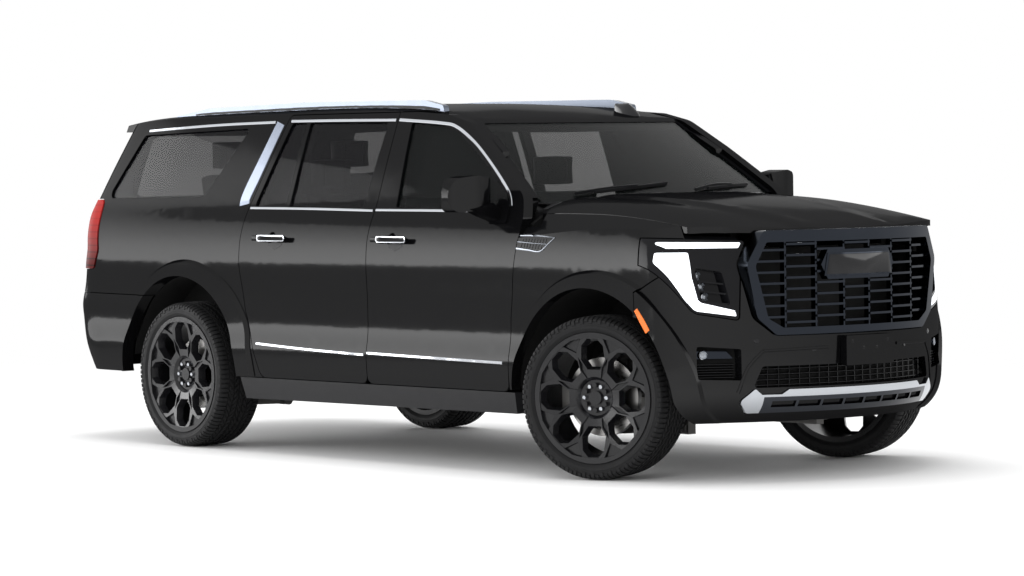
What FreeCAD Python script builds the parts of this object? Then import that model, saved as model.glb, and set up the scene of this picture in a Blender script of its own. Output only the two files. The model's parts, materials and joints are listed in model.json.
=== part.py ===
import FreeCAD, Part
import math
import os

V = FreeCAD.Vector

# Running gear: places of the axles, tyres and rims
WHEELBASE = 3407.0
FRONT_AXLE_X = 1850.0
REAR_AXLE_X = FRONT_AXLE_X - WHEELBASE
HALF_TRACK = 870.0
KINGPIN_Y = 790.0
STEER_DEG = 20.0
TYRE_R = 405.0
TYRE_W = 285.0
TYRE_SHOULDER = 34.0
RIM_R = 322.0
RIM_W = 268.0
RIM_WALL = 9.0
BEAD_GAP = 0.3
SPOKE_COUNT = 8
HUB_FACE_R = 88.0
LUG_CIRCLE_R = 62.0
LUG_COUNT = 6
LUG_R = 12.0
DISC_R = 195.0
DISC_T = 34.0
HUB_R = 70.0
AXLE_STUB_R = 34.0
RUN_GAP = 0.5

# Skin thicknesses and gaps between panels
PANEL_GAP = 5.0
DOOR_T = 60.0
WALL_T = 70.0
RING_IN = DOOR_T + PANEL_GAP
RING_T = 47.0
FENDER_T = 40.0
BUMPER_T = 55.0
ROOF_T = 45.0
HOOD_T = 30.0
GLASS_T = 5.0
SCREEN_T = 9.0
GLASS_IN = 12.0
GLASS_GAP = 0.3
FLARE_OUT = 20.0
PILLAR_T = RING_IN + RING_T
JAMB_IN = WALL_T + PANEL_GAP
LAMP_T = 60.0
SEAT_GAP = 0.3
CABIN_IN = PILLAR_T + SEAT_GAP

# Height levels of the body
SILL_Z = 415.0
DOOR_TOP_Z = 1836.0
BELT_Z = 1320.0
GLASS_LOW_Z = 1338.0
FLOOR_Z = 470.0
FLOOR_T = 30.0

# Half width of the body at each height, amidships
SIDE_SECTION = [(250, 955), (430, 1000), (560, 1008), (700, 991), (850, 992), (1040, 1000),
                (1150, 992), (1250, 965), (1340, 925), (1570, 848), (1800, 765), (1960, 700)]
# Nose and tail on the centreline at each height
NOSE_SECTION = [(250, 2640), (330, 2760), (430, 2812), (560, 2822), (700, 2828), (900, 2812),
                (1100, 2785), (1220, 2745), (1340, 2700), (1960, 2500)]
TAIL_SECTION = [(250, -2700), (420, -2800), (560, -2852), (760, -2856), (900, -2800),
                (1060, -2765), (1340, -2680), (1700, -2525), (1960, -2400)]
# Heights of roof and hood on the centreline
ROOF_LINE = [(-2620, 1806), (-2325, 1850), (-1800, 1875), (-1000, 1886), (-200, 1888),
             (300, 1868), (600, 1829), (800, 1789), (1000, 1735)]
HOOD_LINE = [(1150, 1402), (1500, 1393), (1900, 1370), (2200, 1333), (2500, 1279),
             (2700, 1228), (2800, 1178)]
NOSE_END = 2857.3
NOSE_BEND = 0.44e-3
TAIL_BEND = 0.07e-3
# Further from the centreline than this, the tail turns in by this much more at each height
TAIL_FLAT_Y = 400.0
TAIL_TURN = [(250, 0.75e-3), (500, 0.66e-3), (700, 0.46e-3), (900, 0.38e-3), (1080, 0.37e-3),
             (1200, 0.23e-3), (1340, 0.05e-3), (1960, 0.0)]
GRILLE_BEND = 0.30e-3
SCREEN_BEND = 0.23e-3
SCREEN_BASE = (1470.0, 1380.0)
SCREEN_TOP = (806.0, 1787.0)
HOOD_HALF_W = 836.0
HOOD_NOSE_GAP = 6.0
HOOD_REAR_GAP = 14.0
HOOD_REAR_SWEEP = 30.0

# Outlines of the openings in the side, as (x, z, corner radius)
FRONT_DOOR = [(1300, SILL_Z, 40), (1312, 781, 300), (1346, 1040, 300), (1374, 1210, 90),
              (1372, 1285, 60), (1322, 1400, 120), (987, 1627, 500), (745, 1775, 160),
              (560, 1818, 200), (300, DOOR_TOP_Z, 300), (146, DOOR_TOP_Z, 8), (146, SILL_Z, 40)]
REAR_DOOR = [(141, SILL_Z, 40), (141, DOOR_TOP_Z, 8), (-818, DOOR_TOP_Z, 40),
             (-985, 1340, 200), (-990, 1020, 500), (-945, 770, 300), (-800, SILL_Z, 60)]
FRONT_WINDOW = [(312, GLASS_LOW_Z, 14), (268, 1782, 14), (520, 1764, 200), (690, 1722, 160),
                (1010, 1535, 300), (1190, 1408, 60), (1236, GLASS_LOW_Z, 14)]
REAR_WINDOW = [(36, GLASS_LOW_Z, 14), (68, 1786, 14), (-622, 1794, 10), (-622, GLASS_LOW_Z, 14)]
VENT_WINDOW = [(-657, GLASS_LOW_Z, 14), (-657, 1794, 10), (-786, 1794, 24), (-942, GLASS_LOW_Z, 24)]
QUARTER_WINDOW = [(-1161, 1772, 20), (-2215, 1748, 40), (-2440, 1388, 36), (-1440, 1394, 90)]

# Wheel openings and the creases round them, as (x, z, radius)
FRONT_ARCH = (1890.0, 400.0, 545.0)
FRONT_CREASE = (1928.0, 425.0, 600.0)
REAR_ARCH = (-1565.0, 400.0, 556.0)
REAR_CREASE = (-1502.0, 415.0, 634.0)
BUMPER_SEAM_X = 2229.0

# Tail: outlines from the side as (x, z), and the rear window as (y, z)
TAIL_LAMP = [(-2900, 1380, 10), (-2468, 1380, 30), (-2402, 1090, 60), (-2452, 985, 30), (-2900, 985, 10)]
REAR_BUMPER = [(-1900, 200), (-1900, 838), (-2900, 846), (-2900, 200)]
REAR_BUMPER_Z = 404.0
GATE_SIDE = [(-2950, 852), (-2950, 1772), (-2360, 1772), (-2530, 1340), (-2600, 1060), (-2640, 852)]
GATE_HALF_W = 700.0
GATE_WINDOW = [(-600, 1392, 50), (-560, 1742, 50), (560, 1742, 50), (600, 1392, 50)]
SPOILER = [(-2325, 1950), (-2532, 1950), (-2532, 1779), (-2500, 1768), (-2325, 1768)]

# Nose: outlines from the front as (y, z, corner radius)
HEADLAMP = [(-HOOD_HALF_W - 130, 1190, 20), (-598, 1172, 10), (-640, 1020, 60), (-662, 792, 14),
            (-842, 828, 50), (-905, 949, 120), (-970, 1070, 60)]
LAMP_IN = 120.0
LAMP_SINK = 3.0
GLOW_T = 8.0
TOP_LIGHT = [(-944, 1172, 8), (-614, 1164, 4), (-632, 1138, 8), (-906, 1140, 8)]
SIDE_LIGHT = [(-938, 1120, 8), (-840, 1120, 8), (-838, 1000, 60), (-820, 880, 30), (-676, 838, 4),
              (-670, 810, 4), (-834, 838, 30), (-868, 892, 80), (-912, 1000, 120), (-946, 1072, 40)]
PROJECTOR_BOX = [(-716, 1024, 20), (-690, 862, 10), (-808, 890, 20), (-824, 1046, 10)]
PROJECTORS = [(-798, 1006), (-790, 958), (-782, 908)]
GRILLE_OUTER = [(565, 1221, 30), (648, 1060, 60), (600, 800, 60), (505, 716, 40),
                (-505, 716, 40), (-600, 800, 60), (-648, 1060, 60), (-565, 1221, 30)]
GRILLE_INNER = [(550, 1164, 14), (606, 1050, 40), (544, 796, 30), (466, 750, 20),
                (-466, 750, 20), (-544, 796, 30), (-606, 1050, 40), (-550, 1164, 14)]
GRILLE_X = 2800.0
GRILLE_DEPTH = 70.0
BAR_COUNT = 8
BAR_T = 11.0
BAR_LOW = 774.0
BAR_HIGH = 1152.0
COLUMN_COUNT = 7
COLUMN_W = 173.0
RIB_T = 9.0
PLATE_HALF = (248.0, 72.0)
PLATE_Z = 1049.0
SLOT_COUNT = 8
SLOT_ROW = 1040.0

# Profiles of the floor and the ladder frame along the car, as (x, z)
FLOOR_LINE = [(-2720, 660), (-1190, 660), (-1110, 470), (1190, 470), (1318, 640), (1318, 1352)]
RAIL_LINE = [(-2760, 600), (-1400, 600), (-1220, 421.7), (1230, 421.7), (1430, 545),
             (2150, 545), (2640, 620)]
RAIL_H = 96.0
RAIL_IN_Y = 400.0
RAIL_OUT_Y = 476.0
FLOOR_HALF_W = 905.0
RECEIVER = 50.8

# Wheel face, brake disc and ball joints
HUB_Z = TYRE_R
RIM_EDGE = 9.0
BEAD_R = 304.8
SPOKE_OUT = 96.0
SPOKE_T = 34.0
PORT_R = 214.0
PORT_FLARE = 1.45
CAP_R = 34.0
DISC_IN = 30.0
LOWER_BALL_Z = 253.0
UPPER_BALL_Z = 585.0
ARM_T = 36.0

# How the skin is sampled: shares along each contour, and the heights of the rows
NOSE_SHARES = [0, .1, .2, .28, .34, .38, .42, .46, .5, .54, .58, .64, .72, .84, 1]
TAIL_SHARES = [0, .15, .28, .38, .44, .48, .52, .56, .60, .64, .70, .78, .88, 1]
MIDDLE_XS = [800, 200, -400, -1000]
FAN_FRONT_X = 1400.0
FAN_REAR_X = -1600.0
ROWS = [250, 340, 430, 500, 570, 640, 710, 780, 860, 950, 1040, 1095, 1150, 1200, 1250, 1295,
        1340, 1400, 1480, 1570, 1690, 1800, 1880, 1960]


def table(points):
    """Returns a smooth function through (place, value) pairs."""
    xs = [float(p[0]) for p in points]
    ys = [float(p[1]) for p in points]
    last = len(xs) - 1
    chords = [(ys[i + 1] - ys[i]) / (xs[i + 1] - xs[i]) for i in range(last)]
    slopes = [chords[0]]
    for i in range(1, last):
        a, b = chords[i - 1], chords[i]
        slopes.append(0.0 if a * b <= 0 else 2.0 * a * b / (a + b))
    slopes.append(chords[-1])

    def value(x):
        x = min(max(x, xs[0]), xs[-1])
        i = 0
        while i < last - 1 and x > xs[i + 1]:
            i += 1
        h = xs[i + 1] - xs[i]
        t = (x - xs[i]) / h
        a = (1 + 2 * t) * (1 - t) ** 2 * ys[i] + t * (1 - t) ** 2 * h * slopes[i]
        b = t * t * (3 - 2 * t) * ys[i + 1] - t * t * (1 - t) * h * slopes[i + 1]
        return a + b
    return value


side_at = table(SIDE_SECTION)
nose_at = table(NOSE_SECTION)
tail_at = table(TAIL_SECTION)
tail_turn_at = table(TAIL_TURN)
roof_at = table(ROOF_LINE)
hood_at = table(HOOD_LINE)


def half_width(x, z):
    """Half width of the body's skin, drawn in towards both ends."""
    draw = 0.0
    if x > 1500:
        draw = 45.0 * ((x - 1500) / 900.0) ** 2
    if x < -1700:
        draw = (40.0 + 0.09 * max(z - BELT_Z, 0.0)) * ((-1700 - x) / 900.0) ** 2
    return side_at(z) - draw


def soft_max(a, b, blend):
    h = max(blend - abs(a - b), 0.0) / blend
    return max(a, b) + h * h * blend / 4.0


def outside(x, y, z, inset):
    """Positive outside the skin that lies inset from the body's surface."""
    side = y - half_width(x, z) + inset
    nose = x - nose_at(z) + NOSE_BEND * y * y + inset
    corner = max(y - TAIL_FLAT_Y, 0.0)
    tail = tail_at(z) + TAIL_BEND * y * y + tail_turn_at(z) * corner * corner - x + inset
    return soft_max(soft_max(side, nose, 130.0), tail, 110.0)


def edge_point(x0, degrees, z, inset):
    """The skin's point on a ray from (x0, 0), by halving."""
    dx, dy = math.cos(math.radians(degrees)), math.sin(math.radians(degrees))
    low, high = 100.0, 1700.0
    for _ in range(34):
        mid = (low + high) / 2.0
        if outside(x0 + mid * dx, mid * dy, z, inset) > 0:
            high = mid
        else:
            low = mid
    return V(x0 + low * dx, -low * dy, z)


def spaced(points, shares):
    """Points at the given shares of a line's length."""
    lengths = [0.0]
    for a, b in zip(points, points[1:]):
        lengths.append(lengths[-1] + (b - a).Length)
    found = []
    i = 0
    for share in shares:
        goal = share * lengths[-1]
        while i < len(points) - 2 and lengths[i + 1] < goal:
            i += 1
        t = (goal - lengths[i]) / (lengths[i + 1] - lengths[i])
        found.append(points[i] + (points[i + 1] - points[i]) * t)
    return found


def contour(z, inset):
    """Points of the right half of the skin at one height, from nose to tail."""
    nose = [edge_point(FAN_FRONT_X, angle, z, inset) for angle in range(0, 91)]
    tail = [edge_point(FAN_REAR_X, angle, z, inset) for angle in range(90, 181)]
    nose[0].y = 0.0
    tail[-1].y = 0.0
    middle = [edge_point(float(x), 90.0, z, inset) for x in MIDDLE_XS]
    return spaced(nose, NOSE_SHARES) + middle + spaced(tail, TAIL_SHARES)


def contour_places():
    """One shared measure along every contour, from nose to tail."""
    front, rear = 1850.0, 2050.0
    places = [front * share for share in NOSE_SHARES]
    places += [front + FAN_FRONT_X - x for x in MIDDLE_XS]
    start = front + FAN_FRONT_X - FAN_REAR_X
    return places + [start + rear * share for share in TAIL_SHARES]


def line_through(points, places, ends=None):
    curve = Part.BSplineCurve()
    if ends:
        curve.interpolate(Points=points, Parameters=places, InitialTangent=ends[0],
                          FinalTangent=ends[1], Scale=False)
    else:
        curve.interpolate(Points=points, Parameters=places)
    return curve


def sheet(grid, across, along, ends=None):
    """A smooth surface through rows of points, with its own places across and along."""
    rows = [line_through(row, along, ends) for row in grid]
    columns = []
    for column in zip(*[row.getPoles() for row in rows]):
        columns.append(line_through(list(column), across))
    surface = Part.BSplineSurface()
    poles = [list(pole_row) for pole_row in zip(*[c.getPoles() for c in columns])]
    surface.buildFromPolesMultsKnots(poles, columns[0].getMultiplicities(), rows[0].getMultiplicities(),
                                     columns[0].getKnots(), rows[0].getKnots(), False, False, 3, 3)
    return surface.toShape()


_hulls = {}


def hull(inset):
    """The body's outer volume, drawn in by inset, as one solid."""
    if inset not in _hulls:
        rows = [float(z) for z in ROWS]
        if inset > 0:
            rows[0] -= 20.0
        grid = [contour(z, inset) for z in rows]
        right = sheet(grid, rows, contour_places(), (V(0, -1, 0), V(0, 1, 0)))
        left = right.mirror(V(0, 0, 0), V(0, 1, 0))
        faces = [right, left]
        for z in (rows[0], rows[-1]):
            edges = [e for f in (right, left) for e in f.Edges
                     if all(abs(v.Z - z) < 0.01 for v in e.Vertexes)]
            faces.append(Part.Face(Part.Wire(edges)))
        shell = Part.Shell(faces)
        shell.sewShape()
        solid = Part.Solid(shell)
        if solid.Volume < 0:
            solid.reverse()
        _hulls[inset] = solid
    return _hulls[inset]


def skin(outer, inner, region):
    """The wall between two insets of the body's surface, inside a region."""
    return hull(outer).common(region).cut(hull(inner))


def height_face(height, xs, ys):
    grid = [[V(x, y, height(x, y)) for y in ys] for x in xs]
    return sheet(grid, [float(x) for x in xs], [float(y) for y in ys])


def roof_z(x, y):
    edge = max(abs(y) - 680.0, 0.0)
    return roof_at(x) - 22.0 * (y / 680.0) ** 2 - 3e-3 * edge * edge


def hood_z(x, y):
    fall = 60.0 - 0.042 * (x - 1600.0)
    edge = max(abs(y) - 600.0, 0.0) / 240.0
    crease = 434.0 - 0.139 * (x - 1820.0)
    step = min(max((abs(y) - crease) / 60.0 + 0.5, 0.0), 1.0)
    dome = 9.0 * (1.0 - step * step * (3 - 2 * step))
    return hood_at(x) - 10.0 * (y / 600.0) ** 2 - fall * edge * edge + dome - 4.0


def under_roof(drop):
    """Everything below the roof's surface lowered by drop."""
    ys = (-900, -800, -740, -680, -560, -300, 0, 300, 560, 680, 740, 800, 900)
    xs = (-2620, -2325, -1800, -1000, -200, 100, 300, 450, 600, 800, 1000)
    face = height_face(lambda x, y: roof_z(x, y) - drop, xs, ys)
    return face.extrude(V(0, 0, -1800))


def over_roof(drop):
    """Everything above the roof's surface lowered by drop."""
    ys = (-900, -800, -740, -680, -560, -300, 0, 300, 560, 680, 740, 800, 900)
    xs = (-2620, -2325, -1800, -1000, -200, 100, 300, 450, 600, 800, 1000)
    face = height_face(lambda x, y: roof_z(x, y) - drop, xs, ys)
    return face.extrude(V(0, 0, 500))


def under_hood(drop):
    ys = [0, 180, 300, 350, 400, 450, 520, 600, 700, 800, 900, 1060]
    ys = [-y for y in reversed(ys[1:])] + ys
    xs = (1100, 1300, 1500, 1700, 1900, 2100, 2300, 2450, 2600, 2700, 2760, 2860)
    face = height_face(lambda x, y: hood_z(x, y) - drop, xs, ys)
    return face.extrude(V(0, 0, -1300))


def screen_x(y, z):
    """Place of the windscreen's outer surface."""
    rise = (z - SCREEN_BASE[1]) / (SCREEN_TOP[1] - SCREEN_BASE[1])
    belly = 30.0 * rise * (1.0 - rise)
    run = SCREEN_TOP[0] - SCREEN_BASE[0]
    return SCREEN_BASE[0] + run * rise + belly - SCREEN_BEND * y * y


def behind_screen(drop):
    """Everything behind the windscreen's surface moved back by drop."""
    ys = (-1000, -800, -500, -200, 200, 500, 800, 1000)
    zs = (1240, 1380, 1500, 1620, 1740, 1860, 1960)
    grid = [[V(screen_x(y, z) - drop, y, z) for z in zs] for y in ys]
    screen = sheet(grid, [float(y) for y in ys], [float(z) for z in zs])
    return screen.extrude(V(-4500, 0, 0))


def screen_bed():
    """What the pillars and the roof give up to the windscreen."""
    bed = behind_screen(-60.0).cut(behind_screen(GLASS_T + SCREEN_T + SEAT_GAP))
    return bed.common(box(600, 1700, -1000, 1000, 1240, SCREEN_TOP[1] - 18.7))


def box(x0, x1, y0, y1, z0, z1):
    lows = V(min(x0, x1), min(y0, y1), min(z0, z1))
    return Part.makeBox(abs(x1 - x0), abs(y1 - y0), abs(z1 - z0), lows)


def rounded(points, radius=0.0):
    """A closed flat outline through points, with its corners rounded by radius.

    A point may carry its own radius as a third value.
    """
    count = len(points)
    edges = []
    ends = []
    for i, point in enumerate(points):
        here = V(point[0], point[1], 0)
        r = point[2] if len(point) > 2 else radius
        before = V(*points[i - 1][:2], 0) - here
        after = V(*points[(i + 1) % count][:2], 0) - here
        turn = before.getAngle(after)
        cut = r / math.tan(turn / 2.0) if r > 0 and turn < math.pi - 1e-3 else 0.0
        before.normalize()
        after.normalize()
        a, b = here + before * cut, here + after * cut
        if cut > 0:
            middle = before + after
            middle.normalize()
            reach = r / math.sin(turn / 2.0) - r
            edges.append(Part.Arc(a, here + middle * reach, b).toShape())
        ends.append((a, b))
    lines = []
    for i in range(count):
        a, b = ends[i][1], ends[(i + 1) % count][0]
        if (b - a).Length > 1e-6:
            lines.append(Part.makeLine(a, b))
    return Part.Wire(Part.__sortEdges__(edges + lines))


def side_prism(points, radius=0.0, grow=0.0, y0=-1250.0, y1=-480.0):
    """A prism across the car from an outline of (x, z) points, on the right side."""
    face = Part.Face(rounded(points, radius))
    if grow:
        face = face.makeOffset2D(grow)
    face.rotate(V(0, 0, 0), V(1, 0, 0), 90)
    face.translate(V(0, y0 if y0 > y1 else y1, 0))
    return face.extrude(V(0, -abs(y1 - y0), 0))


def front_prism(points, radius=0.0, grow=0.0, x0=2000.0, x1=3000.0):
    """A prism along the car from an outline of (y, z) points."""
    face = Part.Face(rounded(points, radius))
    if grow:
        face = face.makeOffset2D(grow)
    face.rotate(V(0, 0, 0), V(1, 0, 0), 90)
    face.rotate(V(0, 0, 0), V(0, 0, 1), 90)
    face.translate(V(x0, 0, 0))
    return face.extrude(V(x1 - x0, 0, 0))


def plan_prism(points, radius=0.0, z0=0.0, z1=2200.0):
    """An upright prism from an outline of (x, y) points."""
    face = Part.Face(rounded(points, radius))
    face.translate(V(0, 0, z0))
    return face.extrude(V(0, 0, z1 - z0))


def rod(x0, y0, z0, x1, y1, z1, r):
    a, b = V(x0, y0, z0), V(x1, y1, z1)
    return Part.makeCylinder(r, (b - a).Length, a, b - a)


def mirrored(shape):
    return shape.mirror(V(0, 0, 0), V(0, 1, 0))


def fuse(shapes):
    solids = [solid for shape in shapes for solid in shape.Solids]
    return solids[0].multiFuse(solids[1:]).removeSplitter() if len(solids) > 1 else solids[0]


def both(shape):
    return Part.makeCompound([shape, mirrored(shape)])


def circle_prism(circle, taper=0.0, grow=0.0, y0=-480.0, y1=-1250.0):
    """A round cutter across the car; taper narrows it towards the outside."""
    x, z, r = circle
    r += grow
    if taper:
        face_y = 1000.0
        slope = taper
        inner = r + slope * (face_y + y0)
        outer = r + slope * (face_y + y1)
        return Part.makeCone(inner, outer, y0 - y1, V(x, y0, z), V(0, -1, 0))
    return Part.makeCylinder(r, y0 - y1, V(x, y0, z), V(0, -1, 0))


def arch_opening(circle, grow=0.0):
    """A wheel opening: round above the axle and open to below."""
    x, z, r = circle
    r += grow
    hole = circle_prism(circle, grow=grow)
    skirt = side_prism([(x - r, z), (x + r, z), (x + r + 30, 150), (x - r - 30, 150)])
    return hole.fuse(skirt)


def flare(crease, opening, taper):
    """The raised lip round a wheel opening, sloping back into the side."""
    x, z, r = crease
    ring = circle_prism(crease, taper=taper).cut(box(x - 2000, x + 2000, -1300, 0, -800, 290))
    legs = side_prism([(x - r, z), (x + r, z), (x + r + 20, 290), (x - r - 20, 290)], y1=-850)
    body = skin(-FLARE_OUT, FENDER_T, ring.fuse(legs))
    return body.cut(arch_opening(opening))


def door_bay(outline):
    """What the side loses round a door, one panel gap larger than the door."""
    prism = side_prism(outline, grow=PANEL_GAP)
    return prism.cut(hull(RING_IN))


def edge_bevel(x_low, x_high):
    """A wedge off a door's rear edge above the belt, so that it swings clear."""
    low = V(x_low, -side_at(1340.0), 1340.0)
    high = V(x_high, -side_at(DOOR_TOP_Z), DOOR_TOP_Z)
    up = high - low
    inward = V(0.27, 1.0, 0.0)
    normal = up.cross(inward)
    if normal.x > 0:
        normal = normal * -1.0
    side = 900.0
    up.normalize()
    across = normal.cross(up)
    face = Part.Face(Part.makePolygon([low + up * side + across * side, low - up * side + across * side,
                                       low - up * side - across * side, low + up * side - across * side,
                                       low + up * side + across * side]))
    normal.normalize()
    return face.extrude(normal * 300).common(box(-3000, 3000, -1200, -400, 1300, 1900))


def door(outline, windows, handle_x, buffer_x):
    """One door with its window frame, pull handle and rubber buffers."""
    rear_low = min(point[0] for point in outline if abs(point[1] - 1340) < 100 or point[1] > 1800)
    rear_high = min(point[0] for point in outline if point[1] > 1800)
    panel = skin(0.0, DOOR_T, side_prism(outline))
    panel = panel.cut(edge_bevel(rear_low, rear_high))
    for window in windows:
        panel = panel.cut(side_prism(window))
    y = -990.0
    z = 1172.0
    cup = Part.makeCylinder(34, 60, V(handle_x + 20, y - 30, z), V(0, 1, 0))
    panel = panel.cut(cup)
    bar = box(handle_x - 120, handle_x + 150, y - 34, y - 20, z - 14, z + 14)
    bar = bar.makeFillet(5.0, bar.Edges)
    posts = []
    for x in (handle_x - 95, handle_x + 115):
        posts.append(box(x - 20, x + 20, y - 22, y + 12, z - 11, z + 11))
    buffers = []
    for z0 in (880, 1080):
        buffers.append(box(buffer_x, buffer_x + 22, -1100, -600, z0, z0 + 60))
    buffers = skin(DOOR_T - 1.0, RING_IN - SEAT_GAP, fuse(buffers))
    return fuse([panel, bar, buffers] + posts)


def door_glass(windows):
    panes = []
    for window in windows:
        panes.append(skin(GLASS_IN, GLASS_IN + GLASS_T, side_prism(window, grow=-GLASS_GAP)))
    return Part.makeCompound(panes)


def mirror_unit():
    """A door mirror: an arm from the door's corner and a rounded housing."""
    housing = plan_prism([(1018, -1204, 22), (1060, -972, 34), (1172, -972, 50), (1184, -1070, 90),
                          (1104, -1204, 60)], z0=1290, z1=1510)
    face = front_prism([(-960, 1352, 20), (-960, 1484, 44), (-1080, 1503, 120), (-1180, 1488, 60),
                        (-1212, 1400, 60), (-1186, 1316, 40), (-1110, 1322, 60)], x0=900.0, x1=1300.0)
    housing = housing.common(face)
    glass = box(1000, 1056, -1178, -1000, 1352, 1482)
    glass.rotate(V(1045, -1090, 1420), V(0, 0, 1), -9)
    housing = housing.cut(glass)
    arm = front_prism([(-1120, 1332), (-1000, 1362), (-935, 1330), (-935, 1262), (-1040, 1296)],
                      x0=1105.0, x1=1200.0)
    arm = arm.cut(hull(-SEAT_GAP))
    foot = skin(-12.0, -SEAT_GAP, side_prism([(1098, 1262), (1262, 1262), (1240, 1370), (1150, 1385)], 10))
    return fuse([housing, arm, foot])


def side_frame():
    """Right body side: rear quarter, pillars, sill and the rails over the doors."""
    quarter = side_prism([(-700, SILL_Z), (-700, 1860), (-2740, 1860), (-2740, SILL_Z)])
    rear = skin(0.0, WALL_T, quarter)
    rear = fuse([rear, flare(REAR_CREASE, REAR_ARCH, 0.8).common(quarter)])
    rear = rear.cut(side_prism(QUARTER_WINDOW))
    screen = side_prism([(120, 1385), (1430, 1385), (1400, 1440), (600, 1900), (120, 1900)])
    pillar = skin(0.0, PILLAR_T, screen).common(behind_screen(0.0))
    ring = side_prism([(-1120, 330), (-1120, 1880), (560, 1880), (1370, 1400), (1370, 330)])
    ring = skin(RING_IN, RING_IN + RING_T, ring)
    for outline in (FRONT_DOOR, REAR_DOOR):
        hole = side_prism(outline, grow=-45.0).cut(box(-2000, 2000, -1300, 0, 300, FLOOR_Z + FLOOR_T))
        ring = ring.cut(hole)
    ring = ring.cut(arch_opening(FRONT_ARCH, grow=20)).cut(arch_opening(REAR_ARCH, grow=20))
    ring = ring.cut(box(1000, 1500, -1300, 0, 1240, 1900).cut(behind_screen(20.0)))
    ring = ring.cut(box(1322, 1500, -1300, 0, 1200, 1900))
    jamb = skin(JAMB_IN, PILLAR_T, box(-2900, -2300, -640, -GATE_HALF_W - 20, 690, 1755))
    lamp_seat = box(-2900, -2300, -GATE_HALF_W - PANEL_GAP, -790, 690, 1755)
    jamb = fuse([jamb, skin(LAMP_T + SEAT_GAP, PILLAR_T, lamp_seat)])
    frame = fuse([rear, pillar, ring.cut(over_roof(ROOF_T))]).cut(over_roof(0.0))
    for outline in (FRONT_DOOR, REAR_DOOR):
        frame = frame.cut(door_bay(outline))
    frame = frame.cut(arch_opening(REAR_ARCH))
    frame = fuse([frame.cut(tail_cut(PANEL_GAP)), jamb])
    UPPER_SIDE.append(frame.common(box(-3000, 1100, -1200, -300, 1650, 2000)))
    return max(frame.Solids, key=lambda solid: solid.Volume)


UPPER_SIDE = []


def gate_region(gap):
    """The tailgate's space: the rear wall between the lamps, and the spoiler above."""
    wall = side_prism(GATE_SIDE, grow=gap, y0=GATE_HALF_W + gap, y1=-GATE_HALF_W - gap)
    top = side_prism(SPOILER, grow=gap, y0=GATE_HALF_W + gap, y1=-GATE_HALF_W - gap)
    return wall.fuse(top)


def tail_cut(gap):
    """What the quarter panel gives up to the lamps, bumper and tailgate."""
    lamp = side_prism(TAIL_LAMP, grow=gap)
    bumper = side_prism(REAR_BUMPER, grow=gap)
    return fuse([lamp, bumper, gate_region(gap)])


def tailgate():
    """Rear wall with its window cut, plate recess and roof spoiler."""
    wall = side_prism(GATE_SIDE, y0=GATE_HALF_W, y1=-GATE_HALF_W)
    panel = skin(0.0, WALL_T, wall)
    spoiler = under_roof(0.0).common(side_prism(SPOILER, y0=GATE_HALF_W, y1=-GATE_HALF_W))
    spoiler = spoiler.common(hull(-45.0))
    panel = fuse([panel, spoiler])
    buffers = [box(-2900, -2300, side * 650, side * 690, 1100, 1200) for side in (-1, 1)]
    panel = fuse([panel, skin(WALL_T - 1.0, JAMB_IN - SEAT_GAP, fuse(buffers))])
    panel = panel.cut(front_prism(GATE_WINDOW, x0=-3000.0, x1=-2200.0))
    return panel.cut(skin(-10.0, 24.0, front_prism([(-280, 960, 20), (-280, 1130, 20), (280, 1130, 20),
                                                    (280, 960, 20)], x0=-3000.0, x1=-2500.0)))


def tailgate_glass():
    prism = front_prism(GATE_WINDOW, grow=-GLASS_GAP, x0=-3000.0, x1=-2200.0)
    return skin(GLASS_IN, GLASS_IN + GLASS_T, prism)


def tail_lamp():
    return skin(-6.0, LAMP_T, side_prism(TAIL_LAMP, y1=-GATE_HALF_W - PANEL_GAP))


def rear_bumper():
    """Rear bumper skin with the lips of the rear wheel openings."""
    region = side_prism(REAR_BUMPER, y0=1250, y1=-1250)
    ring = flare(REAR_CREASE, REAR_ARCH, 0.8).common(side_prism(REAR_BUMPER))
    shell = fuse([skin(0.0, BUMPER_T, region), ring, mirrored(ring)])
    shell = shell.cut(box(-3000, 0, -1200, 1200, 200, REAR_BUMPER_Z))
    arch = arch_opening(REAR_ARCH)
    shell = shell.cut(arch).cut(mirrored(arch))
    return shell.cut(box(-3000, -2700, -45, 45, 380, 480))


def roof_rail():
    """A low rail that lies on the roof, its ends running down to it."""
    outline = [(430, 1780), (410, 1868, 20), (250, 1899, 300), (-800, 1908, 3000), (-1700, 1892, 600),
               (-2040, 1850, 60), (-2060, 1780)]
    return side_prism(outline, y0=-640, y1=-676).cut(under_roof(-SEAT_GAP))


def rocker():
    """Sill moulding under the doors between the wheel openings."""
    top = SILL_Z - PANEL_GAP
    shell = skin(4.0, RING_IN - SEAT_GAP, side_prism([(-1100, 292), (-1100, top), (1460, top), (1460, 302)]))
    shell = shell.cut(arch_opening(FRONT_ARCH, grow=8)).cut(arch_opening(REAR_ARCH, grow=8))
    return shell


def roof_panel():
    """The roof skin between the windscreen and the tailgate's spoiler."""
    shell = under_roof(0.0).cut(under_roof(ROOF_T))
    plan = box(-2325 + PANEL_GAP, 900, -760, 760, 1600, 1960)
    shell = shell.common(plan).common(hull(0.0)).common(behind_screen(0.0))
    for outline in (FRONT_DOOR, REAR_DOOR):
        bay = door_bay(outline)
        shell = shell.cut(bay).cut(mirrored(bay))
    shell = shell.cut(UPPER_SIDE[0]).cut(mirrored(UPPER_SIDE[0])).cut(screen_bed())
    return max(shell.Solids, key=lambda solid: solid.Volume)


def windscreen():
    pane = behind_screen(GLASS_T).cut(behind_screen(GLASS_T + SCREEN_T))
    return pane.common(hull(CABIN_IN)).common(box(600, 1600, -900, 900, 1360, SCREEN_TOP[1] - 19.0))


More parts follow.
